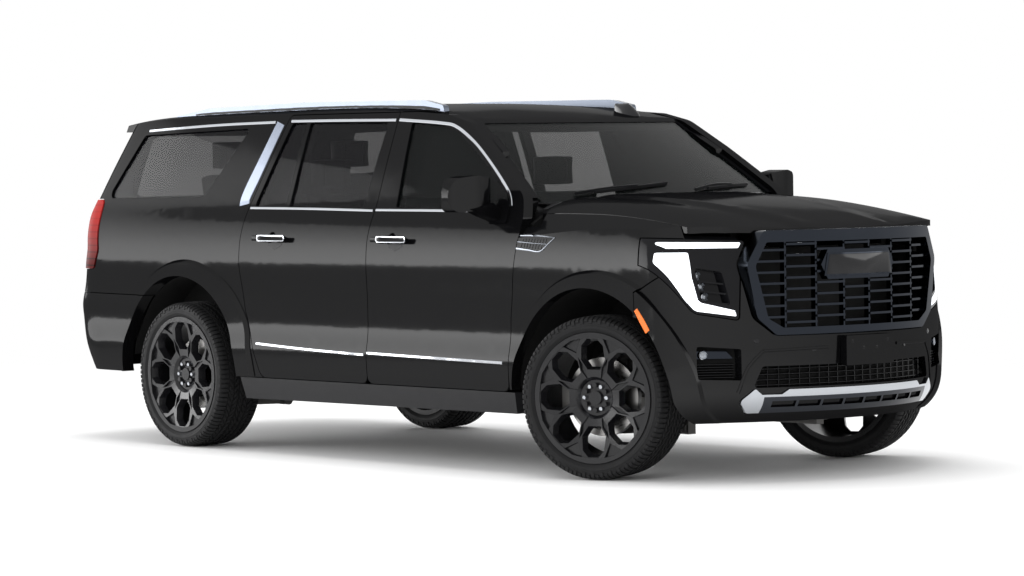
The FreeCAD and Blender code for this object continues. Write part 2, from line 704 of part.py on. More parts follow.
def quarter_glass():
    return both(skin(GLASS_IN, GLASS_IN + GLASS_T, side_prism(QUARTER_WINDOW, grow=-GLASS_GAP)))


def hood_nose(y):
    """The hood's front edge, just behind the grille."""
    return GRILLE_X - GRILLE_DEPTH - HOOD_NOSE_GAP - GRILLE_BEND * y * y


def hood_rear(y):
    """The hood's rear edge, ahead of the windscreen's foot and more so towards the sides."""
    return screen_x(y, 1370.0) + HOOD_REAR_GAP + HOOD_REAR_SWEEP * (y / 800.0) ** 2


def hood_panel():
    """The hood with its raised centre and its turned-down nose."""
    shell = under_hood(0.0).cut(under_hood(HOOD_T))
    rear = [(hood_rear(y), y) for y in (-700, -560, -420, -280, -140, 0, 140, 280, 420, 560, 700)]
    rear = [(hood_rear(HOOD_HALF_W), -HOOD_HALF_W, 20)] + rear + [(hood_rear(HOOD_HALF_W), HOOD_HALF_W, 20)]
    nose = [(hood_nose(y), y) for y in (700, 520, 350, 180, 0, -180, -350, -520, -700)]
    nose = [(2470, HOOD_HALF_W, 50)] + nose + [(2470, -HOOD_HALF_W, 50)]
    return shell.common(plan_prism(rear + nose, z0=900, z1=1600))


def fender():
    """Right front wing: side and top in one skin with the wheel opening's lip."""
    region = box(1300, 2720, -1100, -500, 400, 1600)
    outer = hull(0.0).common(region).common(under_hood(0.0))
    inner = hull(FENDER_T).common(under_hood(HOOD_T))
    shell = outer.cut(inner)
    side = [(1308, 425), (1308, 1500), (2700, 1500), (2700, 1200), (2424, 1040),
            (BUMPER_SEAM_X, 930), (BUMPER_SEAM_X, 425)]
    shell = fuse([shell, flare(FRONT_CREASE, FRONT_ARCH, 0.8)])
    shell = shell.common(side_prism(side, y1=-HOOD_HALF_W - PANEL_GAP))
    shell = shell.cut(door_bay(FRONT_DOOR)).cut(arch_opening(FRONT_ARCH))
    shell = shell.cut(headlamp_block(PANEL_GAP)).cut(behind_screen(-4.0))
    return shell.cut(box(1000, 1420, -1100, -500, 1384, 1600))


def headlamp_block(gap):
    return front_prism(HEADLAMP, grow=gap, x0=2250.0 - gap).cut(hull(150.0))


def headlamp():
    """One lamp body with the recess for its projectors."""
    body = skin(LAMP_SINK, LAMP_IN, headlamp_block(0.0))
    pocket = skin(-10.0, 60.0, front_prism(PROJECTOR_BOX, x0=2200.0))
    lights = skin(-10.0, LAMP_SINK + GLOW_T, light_bars(GLASS_GAP))
    rim = back_flange(HEADLAMP, BUMPER_T, 2200.0)
    shelves = []
    for y, z in PROJECTORS:
        shelves.append(front_prism([(y - 24, z - 28), (y - 24, z - 20), (y + 90, z - 36), (y + 90, z - 44)],
                                   x0=2200.0))
    shelves = skin(14.0, 61.0, Part.makeCompound(shelves))
    shelves = shelves.common(front_prism(PROJECTOR_BOX, grow=1.0, x0=2200.0))
    lamp = fuse([body.cut(pocket).cut(lights), rim, shelves]).cut(front_prism(GRILLE_OUTER, grow=PANEL_GAP))
    return lamp.common(under_hood(HOOD_T + PANEL_GAP))


def light_bars(grow):
    """The space of one lamp's two light bars, grown by a gap."""
    return front_prism(TOP_LIGHT, grow=grow, x0=2200.0).fuse(front_prism(SIDE_LIGHT, grow=grow, x0=2200.0))


def running_lamp():
    """The bright top bar and the blade that turns in under the projectors."""
    bars = skin(LAMP_SINK - 1.5, LAMP_SINK + GLOW_T - SEAT_GAP, light_bars(0.0))
    return bars.common(under_hood(HOOD_T + PANEL_GAP))


def grille_slab(front, back):
    """The space between two sheets that share the grille's bend across the car."""
    ends = []
    for place in (front, back):
        tip = GRILLE_BEND * 700.0 ** 2
        ends.append([V(place - tip, -700, 0), V(place, 0, 0), V(place - tip, 700, 0)])
    near, far = ends
    edges = [Part.Arc(*near).toShape(), Part.makeLine(near[2], far[2]),
             Part.Arc(*far).toShape(), Part.makeLine(far[0], near[0])]
    face = Part.Face(Part.Wire(Part.__sortEdges__(edges)))
    return face.extrude(V(0, 0, 2000))


def grille():
    """Surround, cross bars and the bare centre plate in one piece."""
    surround = front_prism(GRILLE_OUTER).cut(front_prism(GRILLE_INNER))
    surround = surround.common(grille_slab(GRILLE_X, GRILLE_X - GRILLE_DEPTH))
    opening = front_prism(GRILLE_INNER, grow=2.0)
    bars = []
    ribs = []
    pitch = (BAR_HIGH - BAR_LOW) / (BAR_COUNT - 1)
    for column in range(-(COLUMN_COUNT // 2), COLUMN_COUNT // 2 + 1):
        middle = column * COLUMN_W
        for i in range(BAR_COUNT):
            z = BAR_LOW + pitch * (i + 0.5 * (column % 2))
            bars.append(box(2000, 3000, middle - COLUMN_W / 2, middle + COLUMN_W / 2,
                            z - BAR_T / 2, z + BAR_T / 2))
        ribs.append(box(2000, 3000, middle - COLUMN_W / 2 - RIB_T / 2, middle - COLUMN_W / 2 + RIB_T / 2,
                        700, 1200))
    bars = Part.makeCompound(bars).common(grille_slab(GRILLE_X - 22, GRILLE_X - 62))
    ribs = Part.makeCompound(ribs).common(grille_slab(GRILLE_X - 30, GRILLE_X - 60))
    w, h = PLATE_HALF
    plate = front_prism([(-w, PLATE_Z), (-w + 40, PLATE_Z + h), (w - 40, PLATE_Z + h), (w, PLATE_Z),
                         (w - 40, PLATE_Z - h), (-w + 40, PLATE_Z - h)])
    plate = plate.common(grille_slab(GRILLE_X - 6, GRILLE_X - 50))
    inside = fuse([bars.common(opening), ribs.common(opening), plate])
    flange = back_flange(GRILLE_OUTER, BUMPER_T, 2300.0).common(box(2000, 3000, -900, 900, 600, 786))
    return fuse([surround, inside, flange])


def back_flange(outline, wall, x0):
    """A rim behind the neighbouring panels, just off their inner face."""
    rim = front_prism(outline, grow=18.0, x0=x0).cut(front_prism(outline, grow=-16.0, x0=x0))
    return skin(wall + SEAT_GAP, wall + SEAT_GAP + 16.0, rim)


def front_bumper():
    """Bumper skin with the air intakes and lamp pockets cut through."""
    ring = flare(FRONT_CREASE, FRONT_ARCH, 0.0)
    side = [(BUMPER_SEAM_X + PANEL_GAP, 290), (BUMPER_SEAM_X + PANEL_GAP, 925),
            (2424, 1034), (2460, 1215), (2900, 1215), (2900, 290)]
    region = side_prism(side, y0=1250, y1=-1250)
    shell = fuse([skin(0.0, BUMPER_T, region), ring.common(region), mirrored(ring).common(region)])
    arch = arch_opening(FRONT_ARCH)
    shell = shell.cut(arch).cut(mirrored(arch))
    lamp = headlamp_block(PANEL_GAP)
    shell = shell.cut(lamp).cut(mirrored(lamp))
    shell = shell.cut(front_prism(GRILLE_OUTER, grow=PANEL_GAP)).common(under_hood(HOOD_T + PANEL_GAP))
    intake = front_prism([(560, 566, 14), (600, 462, 14), (-600, 462, 14), (-560, 566, 14)])
    fog = front_prism([(-838, 668, 10), (-657, 652, 10), (-650, 500, 10), (-834, 508, 10)])
    shell = shell.cut(intake).cut(fog).cut(mirrored(fog))
    bracket = front_prism([(-162, 557, 8), (-162, 702, 8), (162, 702, 8), (162, 557, 8)], x0=NOSE_END - 40,
                          x1=NOSE_END)
    shell = fuse([shell, bracket.cut(hull(BUMPER_T - 20.0))])
    return max(shell.Solids, key=lambda solid: solid.Volume)


def skid_bar():
    """Bright bar under the intake with its turned-up ends and a row of slots."""
    half = [(440, 452, 8), (474, 428, 8), (566, 428, 8), (598, 458, 8), (660, 396, 20), (612, 338, 20)]
    outline = front_prism([(-y, z, r) for y, z, r in half] + [(y, z, r) for y, z, r in reversed(half)])
    bar = skin(-14.0, -SEAT_GAP, outline)
    step = SLOT_ROW / SLOT_COUNT
    for i in range(SLOT_COUNT):
        y = -SLOT_ROW / 2 + step * (i + 0.5)
        bar = bar.cut(box(2000, 3000, y - step / 2 + 7, y + step / 2 - 7, 366, 396))
    return bar


def ribbon(line, thickness, y0, y1):
    """A strip of even thickness along a line of (x, z) points, from y0 to y1."""
    top = []
    bottom = []
    runs = [V(b[0] - a[0], b[1] - a[1], 0).normalize() for a, b in zip(line, line[1:])]
    for i, (x, z) in enumerate(line):
        before, after = runs[max(i - 1, 0)], runs[min(i, len(runs) - 1)]
        side = V(-before.y - after.y, before.x + after.x, 0).normalize()
        side = side * (thickness / 2.0 / side.dot(V(-before.y, before.x, 0)))
        top.append((x + side.x, z + side.y))
        bottom.append((x - side.x, z - side.y))
    return side_prism(top + bottom[::-1], y0=y0, y1=y1)


def floor_pan():
    """Floor, toe board and bulkhead with the tunnel and rear wheel boxes."""
    line = [(x, z + FLOOR_T / 2.0) if z < 700 else (x, z) for x, z in FLOOR_LINE]
    pan = ribbon(line, FLOOR_T, FLOOR_HALF_W, -FLOOR_HALF_W)
    tunnel = box(-100, 1330, -140, 140, 470, 725).fuse(box(880, 1330, -182, 182, 470, 725))
    hollow = box(-88, 1500, -128, 128, 400, 713).fuse(box(892, 1500, -170, 170, 400, 713))
    pan = fuse([pan, tunnel]).cut(hollow)
    for side in (-1, 1):
        pan = pan.cut(box(REAR_AXLE_X - 560, REAR_AXLE_X + 560, side * 690, side * 1000, 400, 1200))
        pan = pan.cut(box(1190, 1400, side * 560, side * 1000, 400, 900))
    pan = pan.common(hull(CABIN_IN))
    return pan.cut(box(1100, 1400, -1000, 1000, 1200, 1500).cut(under_hood(HOOD_T + 14.0)))


def arc_sheet(circle, r, wall_y, outer_y):
    """A thin bent sheet over a wheel, closed on its inner side by a flat wall."""
    x, z = circle[0], circle[1]
    sheet_out = Part.makeCylinder(r + 6.0, wall_y - outer_y, V(x, wall_y, z), V(0, -1, 0))
    return sheet_out.cut(Part.makeCylinder(r, wall_y - outer_y, V(x, wall_y - 6.0, z), V(0, -1, 0)))


def wheel_boxes():
    """Liners over the wheels: bent sheets with an inner wall."""
    x = FRONT_AXLE_X
    front = arc_sheet(FRONT_ARCH, FRONT_ARCH[2] + 3.0, -492.0, -960.0)
    front = front.cut(box(FRONT_ARCH[0], 2600, -1300, 0, 0, 690)).cut(box(1200, 2600, -1300, 0, 0, 440))
    front = front.cut(box(1200, 2600, -499, 0, 0, 690)).cut(box(x - 140, x + 75, -700, 0, 845, 915))
    behind_bumper = box(BUMPER_SEAM_X - PANEL_GAP, 2800, -1300, 0, 0, 1300).common(hull(BUMPER_T + SEAT_GAP))
    behind_wing = box(1200, BUMPER_SEAM_X - PANEL_GAP, -1300, 0, 0, 1300).common(hull(FENDER_T + SEAT_GAP))
    front = front.common(behind_wing.fuse(behind_bumper))
    rear = arc_sheet(REAR_ARCH, REAR_ARCH[2] - 2.0, -690.3, -960.0)
    rear = rear.cut(box(-2300, -800, -1300, 0, -200, 500)).cut(box(-2300, -800, -697, 0, 0, 640))
    rear = rear.common(hull(WALL_T + SEAT_GAP))
    return Part.makeCompound([front, rear, mirrored(front), mirrored(rear)])


def ladder_frame():
    """Two side rails with kick-ups over the axles, cross members and tow receiver."""
    rails = []
    for side in (-1, 1):
        rails.append(ribbon(RAIL_LINE, RAIL_H, side * RAIL_IN_Y, side * RAIL_OUT_Y))
    for x, z, h in ((2440, 600, 70), (2000, 545, 60), (560, 395, 50), (-2060, 600, 80), (-2640, 600, 90)):
        rails.append(box(x - 45, x + 45, -RAIL_IN_Y - 5, RAIL_IN_Y + 5, z - h / 2, z + h / 2))
    beam = front_prism([(-620, 590), (-620, 690), (620, 690), (620, 590)], x0=2300.0)
    rear_beam = front_prism([(-620, 560), (-620, 640), (620, 640), (620, 560)], x0=-3000.0, x1=-2300.0)
    rails.append(skin(BUMPER_T + SEAT_GAP, BUMPER_T + 70.0, beam.fuse(rear_beam)))
    receiver = box(-2800, -2600, -38, 38, 392, 468).cut(box(-2900, -2590, -RECEIVER / 2, RECEIVER / 2,
                                                        430 - RECEIVER / 2, 430 + RECEIVER / 2))
    rails.append(receiver)
    rails.append(box(-2690, -2620, -60, 60, 460, 580))
    return fuse(rails)


def spun(profile, x, y, z):
    """A solid turned about an axle along Y from (place along the axle, radius) points."""
    edges = Part.makePolygon([V(0, a, r) for a, r in profile + profile[:1]])
    solid = Part.Face(edges).revolve(V(0, 0, 0), V(0, 1, 0), 360)
    solid.translate(V(x, y, z))
    return solid


def tyre(x):
    """A right-hand tyre: flat tread, sloped shoulders and bulged sidewalls."""
    w, bead = TYRE_W / 2.0, RIM_W / 2.0 - RIM_EDGE - BEAD_GAP
    seat = BEAD_R + BEAD_GAP
    high = TYRE_R - 16.0
    profile = [(-bead, seat), (-bead, RIM_R + 2.0), (-w, TYRE_R - 48.0), (-w + 6.0, high),
               (-w + TYRE_SHOULDER, TYRE_R), (w - TYRE_SHOULDER, TYRE_R), (w - 6.0, high),
               (w, TYRE_R - 48.0), (bead, RIM_R + 2.0), (bead, seat)]
    return spun(profile, x, -HALF_TRACK, HUB_Z)


def frustum(outline, centre_z, grow, y0, y1):
    """A straight-sided cutter across the car: the outline at y1, and grown about its centre at y0."""
    count = len(outline)
    wide = [V(x * grow, y0, centre_z + (z - centre_z) * grow) for x, z in outline]
    narrow = [V(x, y1, z) for x, z in outline]
    rings = [wide + wide[:1], narrow + narrow[:1]]
    rings += [[wide[i], wide[(i + 1) % count], narrow[(i + 1) % count], narrow[i], wide[i]]
              for i in range(count)]
    shell = Part.Shell([Part.Face(Part.makePolygon(ring)) for ring in rings])
    shell.sewShape()
    solid = Part.Solid(shell)
    if solid.Volume < 0:
        solid.reverse()
    return solid


def around_hub(cutter, count, offset=0.0):
    """Copies of a cutter, turned about the axle."""
    copies = []
    for i in range(count):
        copy = cutter.copy()
        copy.rotate(V(0, 0, 0), V(0, 1, 0), 360.0 * (i + offset) / count)
        copies.append(copy)
    return Part.makeCompound(copies)


def rim(x):
    """A right-hand wheel: barrel, faceted face with ports, hub bore and brake disc."""
    w = RIM_W / 2.0
    barrel = [(-w, RIM_R), (-w + RIM_EDGE, RIM_R), (-w + RIM_EDGE, BEAD_R), (w - RIM_EDGE, BEAD_R),
              (w - RIM_EDGE, RIM_R), (w, RIM_R), (w, BEAD_R - RIM_WALL), (-w, BEAD_R - RIM_WALL)]
    face = [(-SPOKE_OUT + 8, 0), (-SPOKE_OUT + 8, HUB_FACE_R), (-SPOKE_OUT - 12, HUB_FACE_R + 16),
            (-w + 4, BEAD_R - 4), (-w + 6 + SPOKE_T, BEAD_R - 4), (-SPOKE_OUT + SPOKE_T, HUB_FACE_R),
            (-SPOKE_OUT + SPOKE_T + 10, 0)]
    wheel = fuse([spun(barrel, 0, 0, 0), spun(face, 0, 0, 0)])
    port = [(-50, PORT_R - 20), (-27, PORT_R - 58), (27, PORT_R - 58), (50, PORT_R - 20),
            (44, PORT_R + 32), (20, PORT_R + 56), (-20, PORT_R + 56), (-44, PORT_R + 32)]
    funnel = frustum(port, PORT_R, PORT_FLARE, -w - 6.0, -SPOKE_OUT + SPOKE_T)
    wheel = wheel.cut(around_hub(funnel, SPOKE_COUNT))
    hole = frustum(port, PORT_R, 1.0, -w - 6.0, 0.0)
    wheel = wheel.cut(around_hub(hole, SPOKE_COUNT))
    web = [(0, PORT_R + 26), (46, BEAD_R - 14), (0, BEAD_R - 5), (-46, BEAD_R - 14)]
    recess = frustum(web, PORT_R + 66, 1.25, -w - 6.0, -w + 20.0)
    wheel = wheel.cut(around_hub(recess, SPOKE_COUNT, 0.5))
    valley = [(0, HUB_FACE_R + 12), (13, PORT_R - 62), (0, PORT_R - 10), (-13, PORT_R - 62)]
    groove = frustum(valley, PORT_R - 60, 1.5, -w - 6.0, -SPOKE_OUT - 6.0)
    wheel = wheel.cut(around_hub(groove, SPOKE_COUNT, 0.5))
    lugs = []
    for i in range(LUG_COUNT):
        a = 2 * math.pi * i / LUG_COUNT
        spot = V(LUG_CIRCLE_R * math.sin(a), -SPOKE_OUT + 10, LUG_CIRCLE_R * math.cos(a))
        lugs.append(Part.makeCylinder(LUG_R, 22, spot, V(0, -1, 0)))
    cap = Part.makeCylinder(CAP_R, 16, V(0, -SPOKE_OUT + 10, 0), V(0, -1, 0))
    hub = Part.makeCylinder(HUB_R, 70.0 + DISC_IN, V(0, DISC_IN, 0), V(0, -1, 0))
    bore = Part.makeCylinder(AXLE_STUB_R + 0.05, 60.0 + DISC_IN, V(0, DISC_IN + 1, 0), V(0, -1, 0))
    wheel = fuse([wheel, hub, disc_at(0.0), cap] + lugs).cut(bore)
    wheel.translate(V(x, -HALF_TRACK, HUB_Z))
    return wheel


def disc_at(y):
    return Part.makeCylinder(DISC_R, DISC_T, V(0, y + DISC_T / 2.0, 0), V(0, -1, 0))


def hub_carrier(x):
    """What holds a right-hand wheel: an upright, the stub axle and the brake caliper."""
    k = -KINGPIN_Y
    post = Part.makeCylinder(38, UPPER_BALL_Z - LOWER_BALL_Z, V(x, k, LOWER_BALL_Z), V(0, 0, 1))
    boss = Part.makeCylinder(56, 40, V(x, k + 4, HUB_Z), V(0, -1, 0))
    stub = Part.makeCylinder(AXLE_STUB_R, 92, V(x, k, HUB_Z), V(0, -1, 0))
    arm = box(x - 205, x, k - 22, k + 14, HUB_Z - 28, HUB_Z + 28)
    jaw = box(x - 228, x - 130, k - 104, k + 14, HUB_Z - 75, HUB_Z + 75)
    slot = Part.makeCylinder(DISC_R + 6, DISC_T + 12, V(x, -HALF_TRACK + DISC_T / 2 + 6, HUB_Z), V(0, -1, 0))
    return fuse([post, boss, stub, arm, jaw.cut(slot)])


def control_arm(x, z, spread, inner_y):
    """A wishbone from two frame pivots to a ball joint on the kingpin line."""
    k = -KINGPIN_Y
    tip = Part.makeCylinder(34, ARM_T, V(x, k, z), V(0, 0, 1))
    legs = []
    for side in (-1, 1):
        legs.append(plan_prism([(x - 16, k), (x + 16, k), (x + side * spread + 20, inner_y),
                                (x + side * spread - 20, inner_y)], z0=z, z1=z + ARM_T))
    pivots = []
    for side in (-1, 1):
        pivots.append(rod(x + side * spread - 40, inner_y, z + ARM_T / 2, x + side * spread + 40, inner_y,
                          z + ARM_T / 2, 24))
    return fuse([tip] + legs + pivots)


def front_suspension():
    """Wishbones, coil struts and the steering rack, all carried by the frame."""
    x = FRONT_AXLE_X
    low = control_arm(x, LOWER_BALL_Z - ARM_T - RUN_GAP, 150.0, -RAIL_IN_Y - 60.0)
    high = control_arm(x, UPPER_BALL_Z + RUN_GAP, 90.0, -RAIL_OUT_Y - 24.0)
    bracket = box(x - 200, x + 200, -RAIL_OUT_Y + 6, -RAIL_IN_Y - 20, LOWER_BALL_Z - 50, 500)
    bracket = bracket.cut(box(x - 90, x + 90, -600, 0, 300, 600))
    seat_bar = box(x - 125, x + 100, -630, -590, LOWER_BALL_Z - ARM_T, LOWER_BALL_Z - 4)
    s = x - 75
    strut = fuse([seat_bar, rod(s, -610, 245, s, -560, 700, 40), rod(s, -560, 690, s, -548, 900, 24)])
    right = fuse([low, high, bracket, strut, box(s - 50, x + 60, -600, -RAIL_OUT_Y + 4, 860, 900),
                  box(s - 50, x + 60, -RAIL_OUT_Y - 14, -RAIL_OUT_Y + 6, 590, 900)])
    rack = rod(x - 190, -430, 335, x - 190, 430, 335, 30)
    mount = box(x - 215, x - 165, -460, -400, 330, 505)
    pair = fuse([right, mount])
    whole = fuse([pair, mirrored(pair), rack])
    return whole.cut(ladder_frame_cached())


def rear_suspension():
    """Rear cradle with wishbones and hub carriers on both sides."""
    x = REAR_AXLE_X
    carrier = hub_carrier(x)
    low = control_arm(x, LOWER_BALL_Z - ARM_T, 160.0, -400.0)
    high = control_arm(x, UPPER_BALL_Z, 60.0, -500.0)
    tie = box(x - 60, x + 60, -520, -RAIL_OUT_Y + 4, UPPER_BALL_Z - 20, UPPER_BALL_Z + 40)
    hanger = box(x - 210, x + 210, -440, -380, 230, 560).cut(box(x - 100, x + 100, -600, 0, 200, 700))
    right = fuse([carrier, low, high, tie, hanger])
    cross = [box(x + d - 30, x + d + 30, -400, 400, 480, 540) for d in (-170, 170)]
    return fuse([right, mirrored(right)] + cross).cut(ladder_frame_cached())


_kept = {}


def ladder_frame_cached():
    if "frame" not in _kept:
        _kept["frame"] = ladder_frame()
    return _kept["frame"]


def driveline():
    """Gearbox, propeller shaft, both final drives and the shafts to the wheels."""
    box_body = plan_prism([(1500, -165), (1500, 165), (1000, 120), (480, 80), (480, -80), (1000, -120)],
                          z0=420.3, z1=690)
    shaft = rod(500, 0, 440, REAR_AXLE_X + 120, 0, 400, 36)
    rear = Part.makeCylinder(125, 150, V(REAR_AXLE_X, -75, HUB_Z), V(0, 1, 0))
    nose = rod(REAR_AXLE_X, 0, 400, REAR_AXLE_X + 220, 0, 400, 62)
    half = rod(REAR_AXLE_X, -745, HUB_Z, REAR_AXLE_X, 745, HUB_Z, 20)
    front = Part.makeCylinder(95, 180, V(FRONT_AXLE_X, -90, HUB_Z), V(0, 1, 0))
    front_half = rod(FRONT_AXLE_X, -745, HUB_Z, FRONT_AXLE_X, 745, HUB_Z, 18)
    link = rod(1000, 130, 450, FRONT_AXLE_X, 60, HUB_Z, 28)
    return fuse([box_body, shaft, rear, nose, half, front, front_half, link])


def engine():
    block = plan_prism([(1520, -170), (1520, 170), (1640, 320), (2240, 320), (2240, -320), (1640, -320)],
                       z0=575.3, z1=1120)
    return block.cut(front_prism([(-120, 1200), (-330, 900), (-330, 1200)], x0=1500.0)).cut(
        front_prism([(120, 1200), (330, 1200), (330, 900)], x0=1500.0))


def nose_frame():
    """Radiator and its carrier, which holds the grille, lamps and hood stops."""
    ring = box(2400, 2450, -680, 680, 560, 1130).cut(box(2300, 2500, -620, 620, 640, 1080))
    core = box(2405, 2450, -566, 566, 636, 1084)
    stop = box(2410, 2446, -538, -502, 1100, 1300).common(under_hood(HOOD_T + SEAT_GAP))
    arm = box(2445, 2660, -556, -524, 1090, 1120)
    arm = arm.cut(grille_slab(4000, GRILLE_X - GRILLE_DEPTH - SEAT_GAP))
    lamp_arm = box(2300, 2450, -670, -740, 900, 980).common(hull(LAMP_IN + SEAT_GAP))
    side = fuse([stop, arm, lamp_arm])
    return fuse([ring, core, side, mirrored(side)]).cut(ladder_frame_cached())


def exhaust():
    pipe = rod(1380, -290, 330, -2600, -290, 345, 30)
    can = rod(-780, -290, 345, -180, -290, 345, 92)
    neck = rod(1380, -290, 330, 1500, -240, 560, 30)
    hanger = box(285, 315, -RAIL_IN_Y - 10, -290, 318, 345)
    post = box(285, 315, -RAIL_IN_Y - 40, -RAIL_IN_Y - 5, 318, 420)
    return fuse([pipe, can, neck, hanger, post]).cut(ladder_frame_cached())


def fuel_tank():
    tank = box(-960, -60, 70, RAIL_IN_Y - SEAT_GAP, 300, 469.7)
    long_edges = [e for e in tank.Edges if e.BoundBox.XLength > 500 and e.BoundBox.ZMin < 310]
    return tank.makeFillet(40.0, long_edges)


def seat(x, y, width, z, back_h):
    """One seat as two solids: plinth with cushion, and reclined back with head restraint."""
    half = width / 2.0
    base = box(x - 125, x + 200, y - half + 50, y + half - 50, z, z + 205)
    foot = box(x - 200, x - 120, y - half + 50, y + half - 50, z, z + 150 - SEAT_GAP)
    cushion = side_prism([(x - 130, z + 187, 10), (x + 270, z + 210, 50), (x + 270, z + 345, 50),
                          (x - 130, z + 318, 30)], y0=y + half, y1=y - half)
    top = z + 316 + back_h
    back = side_prism([(x - 245, z + 150, 30), (x - 130 - SEAT_GAP, z + 150, 2), (x - 250, top, 50),
                       (x - 365, top, 50)], y0=y + half - 10, y1=y - half + 10)
    head = side_prism([(x - 372, z + 330 + back_h, 30), (x - 280, z + 330 + back_h, 40),
                       (x - 300, z + 500 + back_h, 40), (x - 385, z + 500 + back_h, 30)],
                      y0=y + 130, y1=y - 130)
    stems = [rod(x - 322, y + s, z + 300 + back_h, x - 328, y + s, z + 340 + back_h, 7) for s in (-60, 60)]
    return Part.makeCompound([fuse([base, foot, cushion]), fuse([back, head] + stems)])


def dashboard():
    """Instrument panel across the cabin with the centre console."""
    panel = side_prism([(1302.7, 800), (1302.7, 1322, 20), (1230, 1346, 40), (1010, 1330, 60),
                        (850, 1270, 40), (836, 1150, 40), (940, 1010, 60), (960, 860, 40),
                        (1100, 800, 30)], y0=790, y1=-790)
    panel = panel.common(hull(CABIN_IN))
    console = side_prism([(1000, 725.3), (1000, 1100), (900, 1090, 80), (700, 900, 100), (-120, 890, 40),
                          (-140, 725.3)], y0=150, y1=-150)
    return fuse([panel, console])


def steering_wheel():
    centre = V(700, 380, 1130)
    axis = V(1, 0, -0.42)
    axis.normalize()
    ring = Part.makeTorus(182, 15, centre, axis)
    hub = Part.makeCylinder(62, 60, centre - axis * 20, axis)
    column = Part.makeCylinder(34, 220, centre, axis)
    spokes = []
    for direction in (V(0, 1, 0), V(0, -1, 0), axis.cross(V(0, 1, 0))):
        bar = Part.makeCylinder(13, 175, centre, direction)
        spokes.append(bar)
    return fuse([ring, hub, column] + spokes)


def cowl():
    """Panel that closes the gap under the windscreen's foot."""
    plan = [(hood_rear(y) - 12.0, y) for y in (-790, -640, -480, -320, -160, 0, 160, 320, 480, 640, 790)]
    plan = [(1190, -790)] + plan + [(1190, 790)]
    body = plan_prism(plan, z0=1322, z1=1359.7).common(under_hood(4.0)).common(hull(CABIN_IN))
    return body.cut(box(1100, 1340, -900, 900, 1200, 1352.0 + 0.3))


PARTS = {}


def front_wheel(shape, side):
    """Turns a straight-ahead right-hand piece to its place on either side."""
    piece = shape if side < 0 else mirrored(shape)
    return piece.rotated(V(FRONT_AXLE_X, side * KINGPIN_Y, 0), V(0, 0, 1), STEER_DEG)


def build_running_gear():
    PARTS["ladder_frame"] = ladder_frame_cached()
    PARTS["front_suspension"] = front_suspension()
    PARTS["rear_suspension"] = rear_suspension()
    PARTS["driveline"] = driveline()
    PARTS["engine"] = engine()
    PARTS["exhaust"] = exhaust()
    PARTS["fuel_tank"] = fuel_tank()
    PARTS["nose_frame"] = nose_frame()
    carrier = hub_carrier(FRONT_AXLE_X)
    front_rim, front_tyre = rim(FRONT_AXLE_X), tyre(FRONT_AXLE_X)
    rear_rim, rear_tyre = rim(REAR_AXLE_X), tyre(REAR_AXLE_X)
    for name, side in (("right", -1), ("left", 1)):
        PARTS["knuckle_" + name] = front_wheel(carrier, side)
        PARTS["wheel_front_" + name] = front_wheel(front_rim, side)
        PARTS["tyre_front_" + name] = front_wheel(front_tyre, side)
        PARTS["wheel_rear_" + name] = rear_rim if side < 0 else mirrored(rear_rim)
        PARTS["tyre_rear_" + name] = rear_tyre if side < 0 else mirrored(rear_tyre)


def build_cabin():
    PARTS["floor_pan"] = floor_pan()
    PARTS["wheel_liners"] = wheel_boxes()
    PARTS["dashboard"] = dashboard()
    PARTS["steering_wheel"] = steering_wheel().cut(PARTS["dashboard"])
    PARTS["cowl"] = cowl()
    floor_top = FLOOR_Z + FLOOR_T + SEAT_GAP
    front = [seat(330, y, 500, floor_top, 600) for y in (-430, 430)]
    middle = [seat(-600, y, 520, floor_top, 600) for y in (-400, 400)]
    bench = [seat(-1500, y, 420, 690.3, 520) for y in (-425, 0, 425)]
    PARTS["seats_front"] = Part.makeCompound(front)
    PARTS["seats_middle"] = Part.makeCompound(middle)
    PARTS["seats_rear"] = Part.makeCompound(bench)


def build_body():
    right = side_frame()
    left = mirrored(right)
    PARTS["side_frame_right"] = right
    PARTS["side_frame_left"] = left
    PARTS["roof"] = roof_panel()
    PARTS["windscreen"] = windscreen()
    PARTS["quarter_glass"] = quarter_glass()
    PARTS["hood"] = hood_panel()
    PARTS["front_fenders"] = both(fender())
    lamp = headlamp()
    PARTS["headlamps"] = both(lamp)
    PARTS["running_lamps"] = both(running_lamp())
    PARTS["front_bumper"] = front_bumper()
    PARTS["grille"] = grille()
    PARTS["skid_bar"] = skid_bar()
    PARTS["tailgate"] = tailgate()
    PARTS["tailgate_glass"] = tailgate_glass()
    PARTS["tail_lamps"] = both(tail_lamp())
    PARTS["rear_bumper"] = rear_bumper()
    PARTS["roof_rails"] = both(roof_rail())
    PARTS["rocker_mouldings"] = both(rocker())


def build_doors():
    front = door(FRONT_DOOR, [FRONT_WINDOW], 330.0, 158.0)
    rear = door(REAR_DOOR, [REAR_WINDOW, VENT_WINDOW], -720.0, -945.0)
    front_pane = door_glass([FRONT_WINDOW])
    rear_pane = door_glass([REAR_WINDOW, VENT_WINDOW])
    mirror = mirror_unit()
    pieces = {"door_front": front, "door_rear": rear, "door_glass_front": front_pane,
              "door_glass_rear": rear_pane, "mirror": mirror}
    for name, shape in pieces.items():
        PARTS[name + "_right"] = shape
        PARTS[name + "_left"] = mirrored(shape)


def write_parts():
    os.makedirs("parts", exist_ok=True)
    for name, shape in PARTS.items():
        shape.exportStep("parts/" + name + ".step")
        print(name, "solids", len(shape.Solids), "litres %.2f" % (shape.Volume / 1e6), shape.isValid())


build_running_gear()
build_cabin()
build_body()
build_doors()
write_parts()
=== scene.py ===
import json
import math
import bmesh
import bpy
from mathutils import Matrix, Vector
from mathutils.bvhtree import BVHTree


